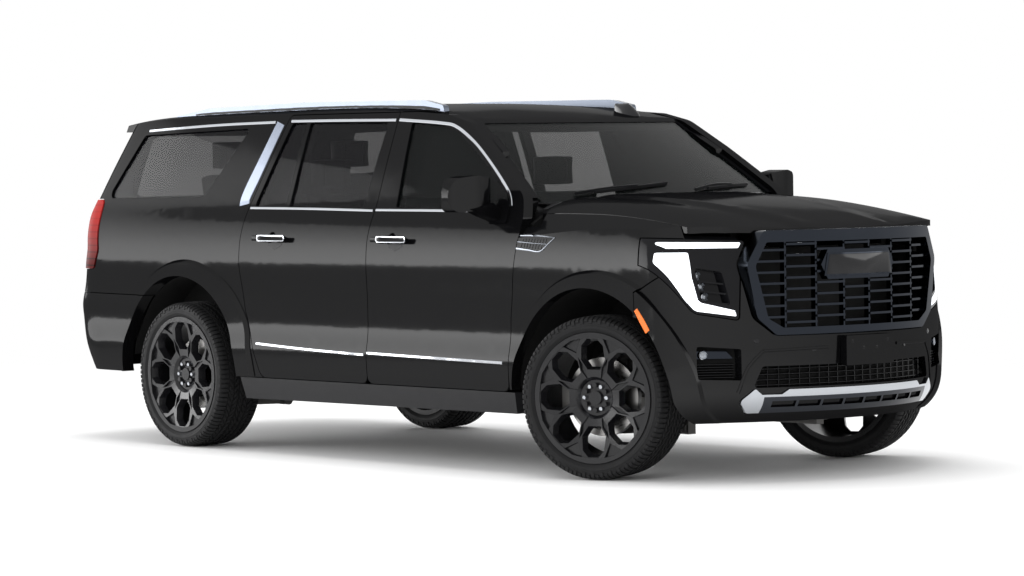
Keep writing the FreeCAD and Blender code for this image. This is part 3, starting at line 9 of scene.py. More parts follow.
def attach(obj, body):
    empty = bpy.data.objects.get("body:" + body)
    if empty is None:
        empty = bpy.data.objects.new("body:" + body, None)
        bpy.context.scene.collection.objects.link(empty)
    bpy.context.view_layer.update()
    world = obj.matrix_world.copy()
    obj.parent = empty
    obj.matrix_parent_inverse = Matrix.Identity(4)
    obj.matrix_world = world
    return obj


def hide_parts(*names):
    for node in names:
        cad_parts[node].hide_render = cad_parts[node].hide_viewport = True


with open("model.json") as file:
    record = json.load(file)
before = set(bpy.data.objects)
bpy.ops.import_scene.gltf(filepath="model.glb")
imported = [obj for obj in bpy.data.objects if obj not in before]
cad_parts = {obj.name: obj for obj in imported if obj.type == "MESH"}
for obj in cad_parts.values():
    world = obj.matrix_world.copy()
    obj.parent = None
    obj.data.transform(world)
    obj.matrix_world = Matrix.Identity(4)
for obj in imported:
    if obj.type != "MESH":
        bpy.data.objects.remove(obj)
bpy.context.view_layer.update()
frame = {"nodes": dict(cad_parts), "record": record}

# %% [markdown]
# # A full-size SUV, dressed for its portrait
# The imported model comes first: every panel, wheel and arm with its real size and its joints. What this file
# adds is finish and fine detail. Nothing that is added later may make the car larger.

nodes = frame["nodes"]
record = frame["record"]
scene = bpy.context.scene
print("solids from the model:", len(nodes))

# %% [markdown]
# ## The camera
# The photograph was taken from far away with a long lens, a little above the headlamps, so that the car keeps
# its proportions. These numbers come from fitting a camera to the wheels, windows and lamps. The small roll
# is the photograph's own.

# %%
AZIMUTH, ELEVATION, ROLL = 50.06, 1.97, -0.87
DISTANCE, LENS = 20.76, 134.7
TARGET = Vector((0.142, 0.0, 0.8827))


def added(name, data):
    """A new object in the scene."""
    thing = bpy.data.objects.new(name, data)
    scene.collection.objects.link(thing)
    return thing


def make_camera():
    data = bpy.data.cameras.new("camera")
    data.lens, data.sensor_width, data.clip_end = LENS, 36.0, 300.0
    camera = added("camera", data)
    az, el = math.radians(AZIMUTH), math.radians(ELEVATION)
    back = Vector((math.sin(az) * math.cos(el), -math.cos(az) * math.cos(el), math.sin(el)))
    look = (-back).to_track_quat("-Z", "Y").to_matrix()
    turned = look @ Matrix.Rotation(math.radians(ROLL), 3, "Z")
    camera.matrix_world = Matrix.Translation(TARGET + back * DISTANCE) @ turned.to_4x4()
    return camera


scene.camera = make_camera()
print("camera at", [round(v, 2) for v in scene.camera.location])

# %% [markdown]
# ## Shader maths
# A material's pattern is maths on places. One small class wraps a node's output, so that a pattern reads as
# an ordinary Python expression, and each operator adds its Math node. One function makes any other node.

# %%
class Value:
    def __init__(self, tree, link):
        self.tree, self.link = tree, link

    def maths(self, operation, *values):
        node = self.tree.nodes.new("ShaderNodeMath")
        node.operation = operation
        for place, value in zip(node.inputs, values):
            if isinstance(value, Value):
                self.tree.links.new(value.link, place)
            else:
                place.default_value = value
        return Value(self.tree, node.outputs[0])

    def __add__(self, other):
        return self.maths("ADD", self, other)

    def __sub__(self, other):
        return self.maths("SUBTRACT", self, other)

    def __rsub__(self, other):
        return self.maths("SUBTRACT", other, self)

    def __mul__(self, other):
        return self.maths("MULTIPLY", self, other)

    def __truediv__(self, other):
        return self.maths("DIVIDE", self, other)

    def __lt__(self, other):
        return self.maths("LESS_THAN", self, other)

    __radd__, __rmul__ = __add__, __mul__

    def apply(self, operation):
        return self.maths(operation, self)

    def clipped(self):
        return self.maths("MINIMUM", self.maths("MAXIMUM", self, 0.0), 1.0)


def node_in(tree, kind, settings=(), values=(), out=0):
    """Any other node: its settings first, then the values or links of its sockets."""
    node = tree.nodes.new(kind)
    for key, value in dict(settings).items():
        setattr(node, key, value)
    for key, value in dict(values).items():
        if isinstance(value, Value):
            tree.links.new(value.link, node.inputs[key])
        else:
            node.inputs[key].default_value = value
    return Value(tree, node.outputs[out])


def split_axes(place):
    """The three numbers of a place."""
    split = node_in(place.tree, "ShaderNodeSeparateXYZ", values={0: place}).link.node
    return [Value(place.tree, out) for out in split.outputs]


# %% [markdown]
# ## One way to make a finish
# A finish starts as the Principled shader with plain numbers on its own sockets. Whatever varies over the
# surface is then fed in: grain as a bump, wear as roughness, two tones through a Mix node, since a Math node
# would turn a colour grey.

# %%
class Finish:
    def __init__(self, name, **sockets):
        self.material = bpy.data.materials.new(name)
        self.material.use_nodes = True
        self.tree = self.material.node_tree
        self.shader = next(n for n in self.tree.nodes if n.type == "BSDF_PRINCIPLED")
        for key, value in sockets.items():
            self.feed(key.replace("_", " "), value)

    def feed(self, name, value):
        place = next(i for i in self.shader.inputs if i.name.lower() == name.lower())
        if isinstance(value, Value):
            self.tree.links.new(value.link, place)
        elif place.type == "RGBA":
            place.default_value = (*value, 1.0)
        else:
            place.default_value = value
        return self

    def place(self):
        """Places on the car in metres."""
        return node_in(self.tree, "ShaderNodeTexCoord", out="Object")

    def edge_on(self):
        """0 where a surface faces the eye, 1 where it is seen edge on."""
        return node_in(self.tree, "ShaderNodeLayerWeight", values={"Blend": 0.5}, out="Facing")

    def noise(self, scale, detail=2.0):
        return node_in(self.tree, "ShaderNodeTexNoise",
                       values={"Vector": self.place(), "Scale": scale, "Detail": detail})

    def grain(self, height, strength, distance=0.001):
        bump = {"Height": height, "Strength": strength, "Distance": distance}
        return self.feed("Normal", node_in(self.tree, "ShaderNodeBump", values=bump))

    def tones(self, factor, first, second):
        mix = node_in(self.tree, "ShaderNodeMix", {"data_type": "RGBA"},
                      {0: factor, 6: (*first, 1.0), 7: (*second, 1.0)}, out=2)
        return self.feed("Base Color", mix)

    def wear(self, low, high, scale):
        """Roughness that drifts between two values."""
        return self.feed("Roughness", self.noise(scale) * (high - low) + low)


# %% [markdown]
# ## Paint, chrome and glass
# Black paint has almost no colour of its own. It shows what it mirrors, so it gets a clear coat with the
# faint orange peel of sprayed lacquer. In an all-white room a plain coat would turn the flat hood grey, so a
# Layer Weight node thins it where the surface is seen edge on. Chrome is bright metal with very little
# roughness, and the grille's dark chrome is the same metal, tinted. Glass is dark and partly see-through.

# %%
def paint():
    made = Finish("black_paint", base_color=(0.003, 0.003, 0.0034), specular_IOR_level=0.0,
                  coat_roughness=0.10)
    facing = 1.0 - made.edge_on()
    made.feed("Coat Weight", facing * facing * 0.60 + 0.04)
    made.wear(0.30, 0.42, 3.0)
    return made.grain(made.noise(420.0), 0.03, 0.0002)


def metal(name, colour, low, high):
    made = Finish(name, base_color=colour, metallic=1.0)
    return made.wear(low, high, 9.0)


def glass(name, colour, see_through):
    made = Finish(name, base_color=colour, alpha=1.0 - see_through, specular_IOR_level=0.12)
    return made.wear(0.01, 0.03, 2.0)


finish = {
    "paint": paint(),
    "grille": metal("dark_chrome", (0.028, 0.032, 0.040), 0.10, 0.18),
    "bright_bar": metal("chrome", (0.62, 0.64, 0.68), 0.05, 0.10),
    "rail": metal("satin_rail", (0.25, 0.28, 0.345), 0.22, 0.30),
    "roof_rail": metal("roof_rail_metal", (0.125, 0.14, 0.17), 0.26, 0.34),
    "glass": glass("clear_glass", (0.004, 0.005, 0.005), 0.60),
    "privacy_glass": glass("dark_glass", (0.004, 0.004, 0.005), 0.50),
    "vent_metal": metal("vent_metal", (0.16, 0.17, 0.19), 0.14, 0.24),
    "mirror_glass": metal("mirror_glass", (0.72, 0.74, 0.75), 0.01, 0.02),
}
print("shiny finishes:", len(finish))

# %% [markdown]
# ## Plastics, rubber and leather
# Moulded plastic has a fine pebble grain, rubber a dull bloom, and leather a coarser grain with softened
# highlights. A row gives a colour, two roughnesses, the grain's scale in cycles per metre and its strength.

# %%
def moulded(name, colour, low, high, scale, strength, shine=0.15):
    made = Finish(name, base_color=colour, specular_IOR_level=shine)
    made.tones(made.noise(14.0), colour, tuple(1.35 * c for c in colour))
    made.wear(low, high, 22.0)
    return made.grain(made.noise(scale), strength)


MOULDED = {
    "trim": ("grained_trim", (0.012, 0.012, 0.013), 0.42, 0.55, 900.0, 0.25),
    "gloss_black": ("gloss_black", (0.004, 0.004, 0.005), 0.10, 0.16, 300.0, 0.02, 0.35),
    "tyre": ("tyre_rubber", (0.012, 0.012, 0.0125), 0.58, 0.78, 700.0, 0.3),
    "rim": ("black_wheel", (0.007, 0.007, 0.008), 0.16, 0.26, 500.0, 0.02, 0.4),
    "frame": ("frame_wax", (0.010, 0.010, 0.010), 0.5, 0.65, 300.0, 0.3),
    "tank": ("tank_plastic", (0.014, 0.014, 0.015), 0.5, 0.6, 500.0, 0.25),
    "liner": ("liner_felt", (0.006, 0.006, 0.006), 0.85, 0.95, 1500.0, 0.6),
    "floor": ("carpet", (0.012, 0.012, 0.012), 0.9, 1.0, 1800.0, 0.8),
    "dash": ("soft_dash", (0.013, 0.013, 0.014), 0.45, 0.6, 650.0, 0.3),
    "seat": ("seat_leather", (0.016, 0.015, 0.015), 0.38, 0.5, 260.0, 0.35),
    "lamp": ("lamp_body", (0.006, 0.006, 0.007), 0.06, 0.10, 60.0, 0.05),
}
finish.update({key: moulded(*numbers) for key, numbers in MOULDED.items()})
finish["steel"] = metal("raw_iron", (0.10, 0.098, 0.095), 0.4, 0.6)
finish["engine"] = metal("cast_alloy", (0.30, 0.30, 0.31), 0.4, 0.6)
finish["exhaust"] = metal("dull_steel", (0.30, 0.29, 0.28), 0.3, 0.5)
print("finishes:", len(finish))

# %% [markdown]
# ## Lamps
# The running lamps glow white. A tail lamp is red and banded: it gets darker towards its foot, and thin dark
# steps run across it, one every few centimetres of height. The skid bar is bright metal with a dark middle.

# %%
BANDS_PER_METRE, LAMP_DARK_ABOVE = 26.0, 1.28
SKID_LOW, SKID_MIDDLE = 0.417, 0.555


def banded_red():
    made = Finish("tail_lamp_red", roughness=0.30, ior=1.15, specular_IOR_level=0.10)
    height = split_axes(made.place())[2]
    step = (height * BANDS_PER_METRE).apply("FRACT") < 0.2
    made.tones(((LAMP_DARK_ABOVE - height) * 4.0).clipped() * 0.8 + step * 0.2,
               (0.30, 0.018, 0.016), (0.012, 0.001, 0.001))
    return made


finish["tail_lamp"] = banded_red()
finish["glow"] = Finish("running_light", base_color=(0.9, 0.93, 1.0), roughness=0.2,
                        emission_color=(0.95, 0.98, 1.0), emission_strength=1.1)


def skid_metal():
    """Bright on its top edge and ends, dark between, where the slots are."""
    made = Finish("skid_metal", metallic=1.0)
    _, y, z = split_axes(made.place())
    low = (z < SKID_LOW) * (y.apply("ABSOLUTE") < SKID_MIDDLE)
    made.tones(low, (0.50, 0.52, 0.55), (0.045, 0.048, 0.055))
    return made.wear(0.10, 0.22, 30.0)


finish["skid"] = skid_metal()
finish["amber"] = Finish("amber_lens", base_color=(0.85, 0.17, 0.01), roughness=0.12, coat_weight=0.5)
finish["amber"].grain(finish["amber"].noise(120.0), 0.1)
finish["reflector"] = Finish("red_reflector", base_color=(0.35, 0.008, 0.006), roughness=0.15,
                             coat_weight=0.6)
finish["reflector"].grain(finish["reflector"].noise(400.0), 0.2)
finish["disc"] = metal("machined_disc", (0.42, 0.41, 0.40), 0.22, 0.34)
finish["lens"] = Finish("lens_glass", base_color=(0.30, 0.32, 0.35), roughness=0.03, metallic=0.7)
print("finishes with the lamps:", len(finish))

# %% [markdown]
# ## Dressing the solids
# A solid's mesh arrives as loose triangles. A short Geometry Nodes tree joins them and keeps each edge that
# bends by more than a set angle sharp, so that panels shade smoothly and shut lines stay crisp.

# %%
def node_group(name, *sockets):
    """An empty group with its two ends, and short ways to add and to link nodes."""
    tree = bpy.data.node_groups.new(name, "GeometryNodeTree")
    for label, kind in (("Geometry", "Geometry"), *sockets):
        tree.interface.new_socket(label, in_out="INPUT", socket_type="NodeSocket" + kind)
    tree.interface.new_socket("Geometry", in_out="OUTPUT", socket_type="NodeSocketGeometry")
    add = tree.nodes.new
    return tree, add, tree.links.new, add("NodeGroupInput"), add("NodeGroupOutput")


def smoothing_tree():
    tree, add, link, start, end = node_group("panel_smoothing", ("Sharp angle", "Float"))
    tree.interface.items_tree["Sharp angle"].default_value = math.radians(24.0)
    merge, bend = add("GeometryNodeMergeByDistance"), add("GeometryNodeInputMeshEdgeAngle")
    sharp = add("FunctionNodeCompare")
    face, edge = add("GeometryNodeSetShadeSmooth"), add("GeometryNodeSetShadeSmooth")
    merge.inputs["Distance"].default_value = 0.00005
    sharp.operation, edge.domain = "GREATER_THAN", "EDGE"
    edge.inputs["Shade Smooth"].default_value = False
    link(start.outputs["Geometry"], merge.inputs["Geometry"])
    link(merge.outputs["Geometry"], face.inputs[0])
    link(face.outputs[0], edge.inputs[0])
    link(bend.outputs["Unsigned Angle"], sharp.inputs[0])
    link(start.outputs["Sharp angle"], sharp.inputs[1])
    link(sharp.outputs[0], edge.inputs["Selection"])
    link(edge.outputs[0], end.inputs[0])
    return tree


SMOOTHING = smoothing_tree()
slot_of = {part["node"]: part["material_slot"] for part in record["subparts"]}
own_finish = {"skid_bar": "skid", "roof_rails": "roof_rail"}
for name, solid in nodes.items():
    solid.data.materials.clear()
    solid.data.materials.append(finish[own_finish.get(name, slot_of[name])].material)
    smoothing = solid.modifiers.new("smoothing", "NODES")
    smoothing.node_group = SMOOTHING
print("dressed", len(nodes), "solids")

# %% [markdown]
# ## Laying trim on the skin
# Bright strips follow curved panels, so their places are found rather than typed: a ray is shot at the panel
# from outside, and the strip's section is swept through the points that it hits. A path is a few points seen
# from the side or the front, and a smooth curve through them is sampled every centimetre.

# %%
SIDES = (("right", -1.0), ("left", 1.0))


def skin_of(*names):
    points, faces = [], []
    for name in names:
        mesh = nodes[name].data
        start = len(points)
        points += [v.co.copy() for v in mesh.vertices]
        faces += [[start + i for i in face.vertices] for face in mesh.polygons]
    return BVHTree.FromPolygons(points, faces)


def through(points, step=0.01):
    """Evenly spaced places on a smooth curve through the points."""
    rows = [Vector(p) for p in points]
    rows = [rows[0] * 2 - rows[1]] + rows + [rows[-1] * 2 - rows[-2]]
    places = []
    for a, b, c, d in zip(rows, rows[1:], rows[2:], rows[3:]):
        count = max(2, int((c - b).length / step))
        for i in range(count):
            t = i / count
            places.append(0.5 * (2 * b + (c - a) * t + (2 * a - 5 * b + 4 * c - d) * t * t
                                 + (3 * b - a - 3 * c + d) * t ** 3))
    return places + [rows[-2]]


def hits(skin, starts, way):
    """Points and evened-out normals where rays meet a skin."""
    found = []
    for start in starts:
        point, normal, _, _ = skin.ray_cast(start, way)
        if point is not None:
            found.append((point, normal if normal.dot(way) < 0 else -normal))
    spots = []
    for i, (point, _) in enumerate(found):
        near = found[max(i - 2, 0):i + 3]
        spots.append((point, sum((n for _, n in near), Vector()).normalized()))
    return spots


def from_side(skin, points, side):
    return hits(skin, [Vector((p[0], side * 2.0, p[1])) for p in through(points)], Vector((0, -side, 0)))


def from_end(skin, points, side=1.0, end=1.0):
    """Places met by rays from the front, or from behind where the end is -1."""
    starts = [Vector((4.0 * end, side * p[0], p[1])) for p in through(points)]
    return hits(skin, starts, Vector((-end, 0, 0)))


def reach_at(skin, y, z, end=1.0):
    return skin.ray_cast(Vector((4.0 * end, y, z)), Vector((-end, 0, 0)))[0].x


# %% [markdown]
# ## Sweeping a section
# The section is a low bar with chamfered shoulders and a foot sunk a little into the panel. One width serves
# a plain strip, and several widths make it taper. The rings of points are joined by faces, as in most pieces.

# %%
def joined(bm, rings, closed=False):
    """Faces from ring to ring, with both ends closed off, or the last ring joined to the first."""
    count = len(rings[0])
    pairs = list(zip(rings, rings[1:])) + ([(rings[-1], rings[0])] if closed else [])
    for a, b in pairs:
        for k in range(count):
            bm.faces.new((a[k], a[(k + 1) % count], b[(k + 1) % count], b[k]))
    if not closed:
        bm.faces.new(rings[0][::-1])
        bm.faces.new(rings[-1])


def sweep(bm, spots, widths, rise, sink=0.003, shoulder=0.3):
    if len(spots) < 2:
        return
    if not isinstance(widths, (list, tuple)):
        widths = (widths, widths)
    rings = []
    last = len(spots) - 1
    for i, (point, normal) in enumerate(spots):
        along = spots[min(i + 1, last)][0] - spots[max(i - 1, 0)][0]
        across = along.cross(normal).normalized()
        up = across.cross(along).normalized()
        share = i / last * (len(widths) - 1)
        low = min(int(share), len(widths) - 2)
        half = (widths[low] + (widths[low + 1] - widths[low]) * (share - low)) / 2.0
        flat = max(half - rise * 0.8, half * shoulder)
        section = ((-half, -sink), (-half, rise * 0.4), (-flat, rise), (flat, rise), (half, rise * 0.4),
                   (half, -sink))
        rings.append([bm.verts.new(point + across * u + up * v) for u, v in section])
    joined(bm, rings)


def mesh_of(name, bm):
    mesh = bpy.data.meshes.new(name)
    bm.to_mesh(mesh)
    bm.free()
    return mesh


def finished(name, bm, look, body, sharp=35.0, replaces=()):
    """Closes a piece: normals out, smooth shading, its finish, and the body that it rides."""
    bmesh.ops.recalc_face_normals(bm, faces=bm.faces)
    mesh = mesh_of(name, bm)
    mesh.shade_smooth()
    mesh.set_sharp_from_angle(angle=math.radians(sharp))
    mesh.materials.append(finish[look].material)
    piece = added(name, mesh)
    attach(piece, body)
    if replaces:
        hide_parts(*replaces)
    made.append((name, len(mesh.polygons)))
    return piece


def swept(name, look, body, slot, *strips):
    """A piece made of strips, each with its places, widths and rise, and maybe its sink and shoulder."""
    bm = bmesh.new()
    for strip in strips:
        sweep(bm, *strip)
    finished(name, bm, look, body)


made = []

# %% [markdown]
# ## Wheels, first the places
# Every wheel is made lying flat round the local Z axis, and then stood up where its joint is. The front
# wheels are steered a little, so their places come from the joints rather than from round numbers.

# %%
BODIES = record["behaviour"]["bodies"]
WHEELS = {}
for joint in record["behaviour"]["joints"]:
    if "wheel" in joint["child"]:
        outward = Vector(joint["axis"]) * math.copysign(1.0, joint["pos_m"][1])
        stand = outward.to_track_quat("Z", "Y").to_matrix().to_4x4()
        WHEELS[joint["child"]] = Matrix.Translation(Vector(joint["pos_m"])) @ stand


def circle(bm, radius, height, place, count):
    turns = [2.0 * math.pi * k / count for k in range(count)]
    return [bm.verts.new(place(radius * math.cos(a), radius * math.sin(a), height)) for a in turns]


def turned(bm, profile, place, count, closed=False):
    """Turns a profile of (radius, height) about an axis."""
    joined(bm, [circle(bm, radius, height, place, count) for radius, height in profile], closed)


def flat(u, v, w):
    return Vector((u, v, w))


# %% [markdown]
# ## A ring of copies
# Tread blocks and wheel nuts repeat round an axle. A Geometry Nodes tree puts one point for each copy, turns
# the pattern by an equal step each time, and makes real faces of the copies. The result is baked, so that
# nothing live is left on the piece.

# %%
def ring_tree():
    tree, add, link, start, end = node_group("ring_of_copies", ("Count", "Int"), ("Start", "Float"),
                                             ("Finish", "Material"))
    points, index = add("GeometryNodePoints"), add("GeometryNodeInputIndex")
    shifted, turn, share = add("ShaderNodeMath"), add("ShaderNodeMath"), add("ShaderNodeMath")
    turn.operation, share.operation = "MULTIPLY", "DIVIDE"
    turn.inputs[1].default_value = 2.0 * math.pi
    spin, copies = add("ShaderNodeCombineXYZ"), add("GeometryNodeInstanceOnPoints")
    real, coat = add("GeometryNodeRealizeInstances"), add("GeometryNodeSetMaterial")
    link(start.outputs["Count"], points.inputs["Count"])
    link(index.outputs[0], shifted.inputs[0])
    link(start.outputs["Start"], shifted.inputs[1])
    link(shifted.outputs[0], turn.inputs[0])
    link(turn.outputs[0], share.inputs[0])
    link(start.outputs["Count"], share.inputs[1])
    link(share.outputs[0], spin.inputs["Z"])
    link(points.outputs[0], copies.inputs["Points"])
    link(start.outputs["Geometry"], copies.inputs["Instance"])
    link(spin.outputs[0], copies.inputs["Rotation"])
    link(copies.outputs[0], real.inputs[0])
    link(real.outputs[0], coat.inputs["Geometry"])
    link(start.outputs["Finish"], coat.inputs["Material"])
    link(coat.outputs[0], end.inputs[0])
    return tree


RING = ring_tree()


def ring_of(pattern, count, look, start=0.0):
    bmesh.ops.recalc_face_normals(pattern, faces=pattern.faces)
    mesh = mesh_of("pattern", pattern)
    holder = added("pattern", mesh)
    modifier = holder.modifiers.new("ring", "NODES")
    modifier.node_group = RING
    inputs = {"Count": count, "Start": start, "Finish": finish[look].material}
    for label, value in inputs.items():
        modifier[RING.interface.items_tree[label].identifier] = value
    bpy.context.view_layer.update()
    seen = holder.evaluated_get(bpy.context.evaluated_depsgraph_get())
    baked = bpy.data.meshes.new_from_object(seen)
    bpy.data.objects.remove(holder)
    bpy.data.meshes.remove(mesh)
    return baked


# %% [markdown]
# ## Tyres
# An all-terrain tyre: a rounded casing with raised bands on its sidewall, five rows of staggered blocks
# across the tread, and shoulder lugs that wrap over the edge, alternately long and short. On the real tyre
# the lugs dig into soft ground and the gaps between them throw out mud. A tread row gives the edges of its
# blocks from the tyre's middle, their slant, and the part of a step by which it starts later.

# %%
CASING = [(0.3051, 0.1247), (0.3240, 0.1262), (0.3270, 0.1300), (0.3400, 0.1372), (0.3420, 0.1392),
          (0.3560, 0.1412), (0.3580, 0.1398), (0.3720, 0.1388), (0.3860, 0.1335), (0.3915, 0.1230),
          (0.3935, 0.0900), (0.3945, 0.0)]
TREAD = ((-0.013, 0.013, 4.0, 0.0), (0.022, 0.047, -3.0, 0.5), (0.055, 0.082, 3.0, 0.2))
BLOCKS, BLOCK_HALF_TURN, BLOCK_FOOT, BLOCK_TOP, TOP_SHARE = 72, 0.0335, 0.390, 0.4045, 0.86
LUGS, LUG_HALF_TURN, LUG_REACHES = 48, 0.0235, ((0.0, 0.3680), (0.5, 0.3790))


def block(bm, top, w0, w1, slant):
    """One rubber block, wider at its foot, between two distances from the tyre's middle."""
    middle = (w0 + w1) / 2.0
    corners = []
    for r, k in ((BLOCK_FOOT, 1.0), (top, TOP_SHARE)):
        for turn, w in ((-1, w0), (1, w0), (1, w1), (-1, w1)):
            angle = turn * BLOCK_HALF_TURN * k + slant * (w - w0)
            place = (r * math.cos(angle), r * math.sin(angle), middle + (w - middle) * k)
            corners.append(bm.verts.new(place))
    for face in ((0, 1, 2, 3), (4, 5, 6, 7), (0, 1, 5, 4), (1, 2, 6, 5), (2, 3, 7, 6), (3, 0, 4, 7)):
        bm.faces.new([corners[i] for i in face])


def shoulder_lug(bm, reach):
    """A lug that starts on the tread and wraps down over the shoulder."""
    section = [(0.3900, 0.090), (0.4020, 0.092), (0.4010, 0.112), (0.3950, 0.1290), (0.3860, 0.1405),
               (reach, 0.1425), (reach - 0.004, 0.1380), (0.3800, 0.1300)]
    joined(bm, [[bm.verts.new((r * math.cos(angle), r * math.sin(angle), w)) for r, w in section]
                for angle in (-LUG_HALF_TURN, LUG_HALF_TURN)])


def tyre_mesh():
    parts = []
    casing = CASING + [(r, -w) for r, w in CASING[-2::-1]]
    bm = bmesh.new()
    turned(bm, casing, flat, 128, closed=True)
    for row, (w0, w1, slant, pitch) in enumerate(TREAD):
        for mirror in ((1,) if row == 0 else (1, -1)):
            pattern = bmesh.new()
            low, high = sorted((mirror * w0, mirror * w1))
            block(pattern, BLOCK_TOP - 0.0008 * row, low, high, slant * mirror)
            parts.append(ring_of(pattern, BLOCKS, "tyre", pitch + 0.5 * (mirror < 0)))
    for mirror in (1, -1):
        for start, reach in LUG_REACHES:
            pattern = bmesh.new()
            shoulder_lug(pattern, reach)
            for vert in pattern.verts:
                vert.co.z *= mirror
            parts.append(ring_of(pattern, LUGS, "tyre", start + 0.25 * (mirror < 0)))
    for part in parts:
        bm.from_mesh(part)
        bpy.data.meshes.remove(part)
    return bm


tyre = tyre_mesh()
for body, place in WHEELS.items():
    node = next(n for n in BODIES[body] if n.startswith("tyre"))
    bm = tyre.copy()
    bm.transform(place)
    finished(node + "_rubber", bm, "tyre", body, 30.0, replaces=(node,))
tyre.free()
print("tyres:", made[-1])

# %% [markdown]
# ## Nuts and brake disc
# Six bright nuts hold each wheel. Behind the ports shows the machined face of the brake disc, with its inner
# ring round the hub.

# %%
NUTS, NUT_CIRCLE = 6, 0.062


def nut_ring():
    pattern = bmesh.new()
    shape = [(0.0128, 0.086), (0.0128, 0.100), (0.0108, 0.106), (0.0060, 0.1095)]
    turned(pattern, shape, lambda u, v, w: Vector((u + NUT_CIRCLE, v, w)), 6)
    return ring_of(pattern, NUTS, "bright_bar")


def disc_mesh():
    bm = bmesh.new()
    turned(bm, [(0.112, 0.0180), (0.1945, 0.0180), (0.1945, 0.0160), (0.112, 0.0160)], flat, 96, closed=True)
    turned(bm, [(0.072, 0.0190), (0.090, 0.0190), (0.094, 0.0174), (0.072, 0.0174)], flat, 64, closed=True)
    return bm


nuts, disc = nut_ring(), disc_mesh()
for body, place in WHEELS.items():
    bm = bmesh.new()
    bm.from_mesh(nuts)
    bm.transform(place)
    finished(body + "_nuts", bm, "bright_bar", body, 25.0)
    bm = disc.copy()
    bm.transform(place)
    finished(body + "_disc_face", bm, "disc", body, 25.0)
print("wheel details:", len(made))

# %% [markdown]
# ## Bright lines along the side
# The window surround is one bright line in three pieces: it parts where the doors part. Another runs low
# along each door, and a broad satin blade covers the last pillar. All of them ride with the panel that
# carries them, so that they swing with the door.

# %%
FRONT_SURROUND = [(0.157, 1.797), (0.510, 1.775), (0.654, 1.752), (0.838, 1.668), (1.015, 1.557),
                  (1.171, 1.443), (1.223, 1.392), (1.250, 1.345)]
REAR_SURROUND = [(0.128, 1.797), (-0.35, 1.803), (-0.800, 1.806)]
QUARTER_SURROUND = [(-0.945, 1.803), (-1.5, 1.795), (-2.176, 1.772)]
SIDE_LINES = {
    "door_front": [(FRONT_SURROUND, 0.016), ([(0.152, 1.325), (0.6, 1.323), (1.10, 1.320)], 0.014),
                   ([(0.152, 0.575), (0.7, 0.566), (1.262, 0.558)], 0.014)],
    "door_rear": [(REAR_SURROUND, 0.016), ([(0.128, 1.322), (-0.45, 1.331), (-0.970, 1.335)], 0.014),
                  ([(0.120, 0.565), (-0.4, 0.580), (-0.835, 0.598)], 0.014)],
}
BLADE = [(-0.893, 1.795), (-0.967, 1.580), (-1.036, 1.400), (-1.034, 1.350)]
BLADE_WIDTHS = (0.076, 0.082, 0.090, 0.086)
LINE_RISE = 0.0035

for name, side in SIDES:
    for door, lines in SIDE_LINES.items():
        skin = skin_of(f"{door}_{name}")
        strips = [(from_side(skin, path, side), width, LINE_RISE) for path, width in lines]
        swept(f"{door}_{name}_bright_lines", "bright_bar", f"door_{door[5]}{name[0]}", "bright_bar", *strips)
    skin = skin_of("side_frame_" + name)
    swept(f"quarter_{name}_bright_line", "bright_bar", "body", "bright_bar",
          (from_side(skin, QUARTER_SURROUND, side), 0.016, LINE_RISE))
    swept(f"pillar_blade_{name}", "rail", "body", "rail",
          (from_side(skin, BLADE, side), BLADE_WIDTHS, 0.004, 0.003, 0.47))
print("side lines:", len(made))

# %% [markdown]
# ## Plates with softened edges
# Many small parts are a plate: an outline seen from one side, a thickness, and a softened front edge. The
# place function says how the outline's own axes lie on the car, so one helper serves the side, the front and
# the back.

# %%
def rounded(points, radius, steps=4):
    """A closed outline with its corners rounded."""
    corners = [Vector(p) for p in points]
    outline = []
    for i, corner in enumerate(corners):
        first = corner + (corners[i - 1] - corner).normalized() * radius
        last = corner + (corners[(i + 1) % len(corners)] - corner).normalized() * radius
        for k in range(steps + 1):
            t = k / steps
            outline.append(first * (1 - t) ** 2 + corner * 2 * t * (1 - t) + last * t * t)
    return outline


def slab(bm, outline, depth, edge, place):
    """A plate from depth below to its face at zero, with the front edge softened."""
    centre = sum(outline, Vector((0.0, 0.0))) / len(outline)
    rings = []
    for shrink, w in ((0.0, -depth), (0.0, -edge), (edge * 0.3, -edge * 0.3), (edge, 0.0)):
        moved = [p + (centre - p).normalized() * shrink for p in outline]
        rings.append([bm.verts.new(place(p.x, p.y, w)) for p in moved])
    joined(bm, rings)


def plate(name, look, body, slot, *shape):
    """A piece made of one slab."""
    bm = bmesh.new()
    slab(bm, *shape)
    finished(name, bm, look, body)


def oblong(u, v, width, height):
    return [(u - width / 2, v - height / 2), (u + width / 2, v - height / 2),
            (u + width / 2, v + height / 2), (u - width / 2, v + height / 2)]


def on_side(side, y):
    return lambda u, v, w: Vector((u, side * (y + w), v))


# %% [markdown]
# ## Door handles and mirror glass
# Each handle is a grip in the body's paint inside a bright rim, with a flat dark matte strip under it:
# painted shade where the recessed scoop for the fingers would be. The mirrors get their silvered glass, set
# back inside the shell.

# %%
HANDLE_PLACES = (("front", 0.385), ("rear", -0.665))
HANDLE_HEIGHT, HANDLE_FACE = 1.173, 1.0262
HANDLE_PARTS = (("rim", "bright_bar", 0.246, 0.032, 0.0), ("inlay", "paint", 0.235, 0.023, 0.0012))
MIRROR_PLACE, MIRROR_TURN, MIRROR_HEIGHT = (1.045, 1.090), math.radians(9.0), 1.417


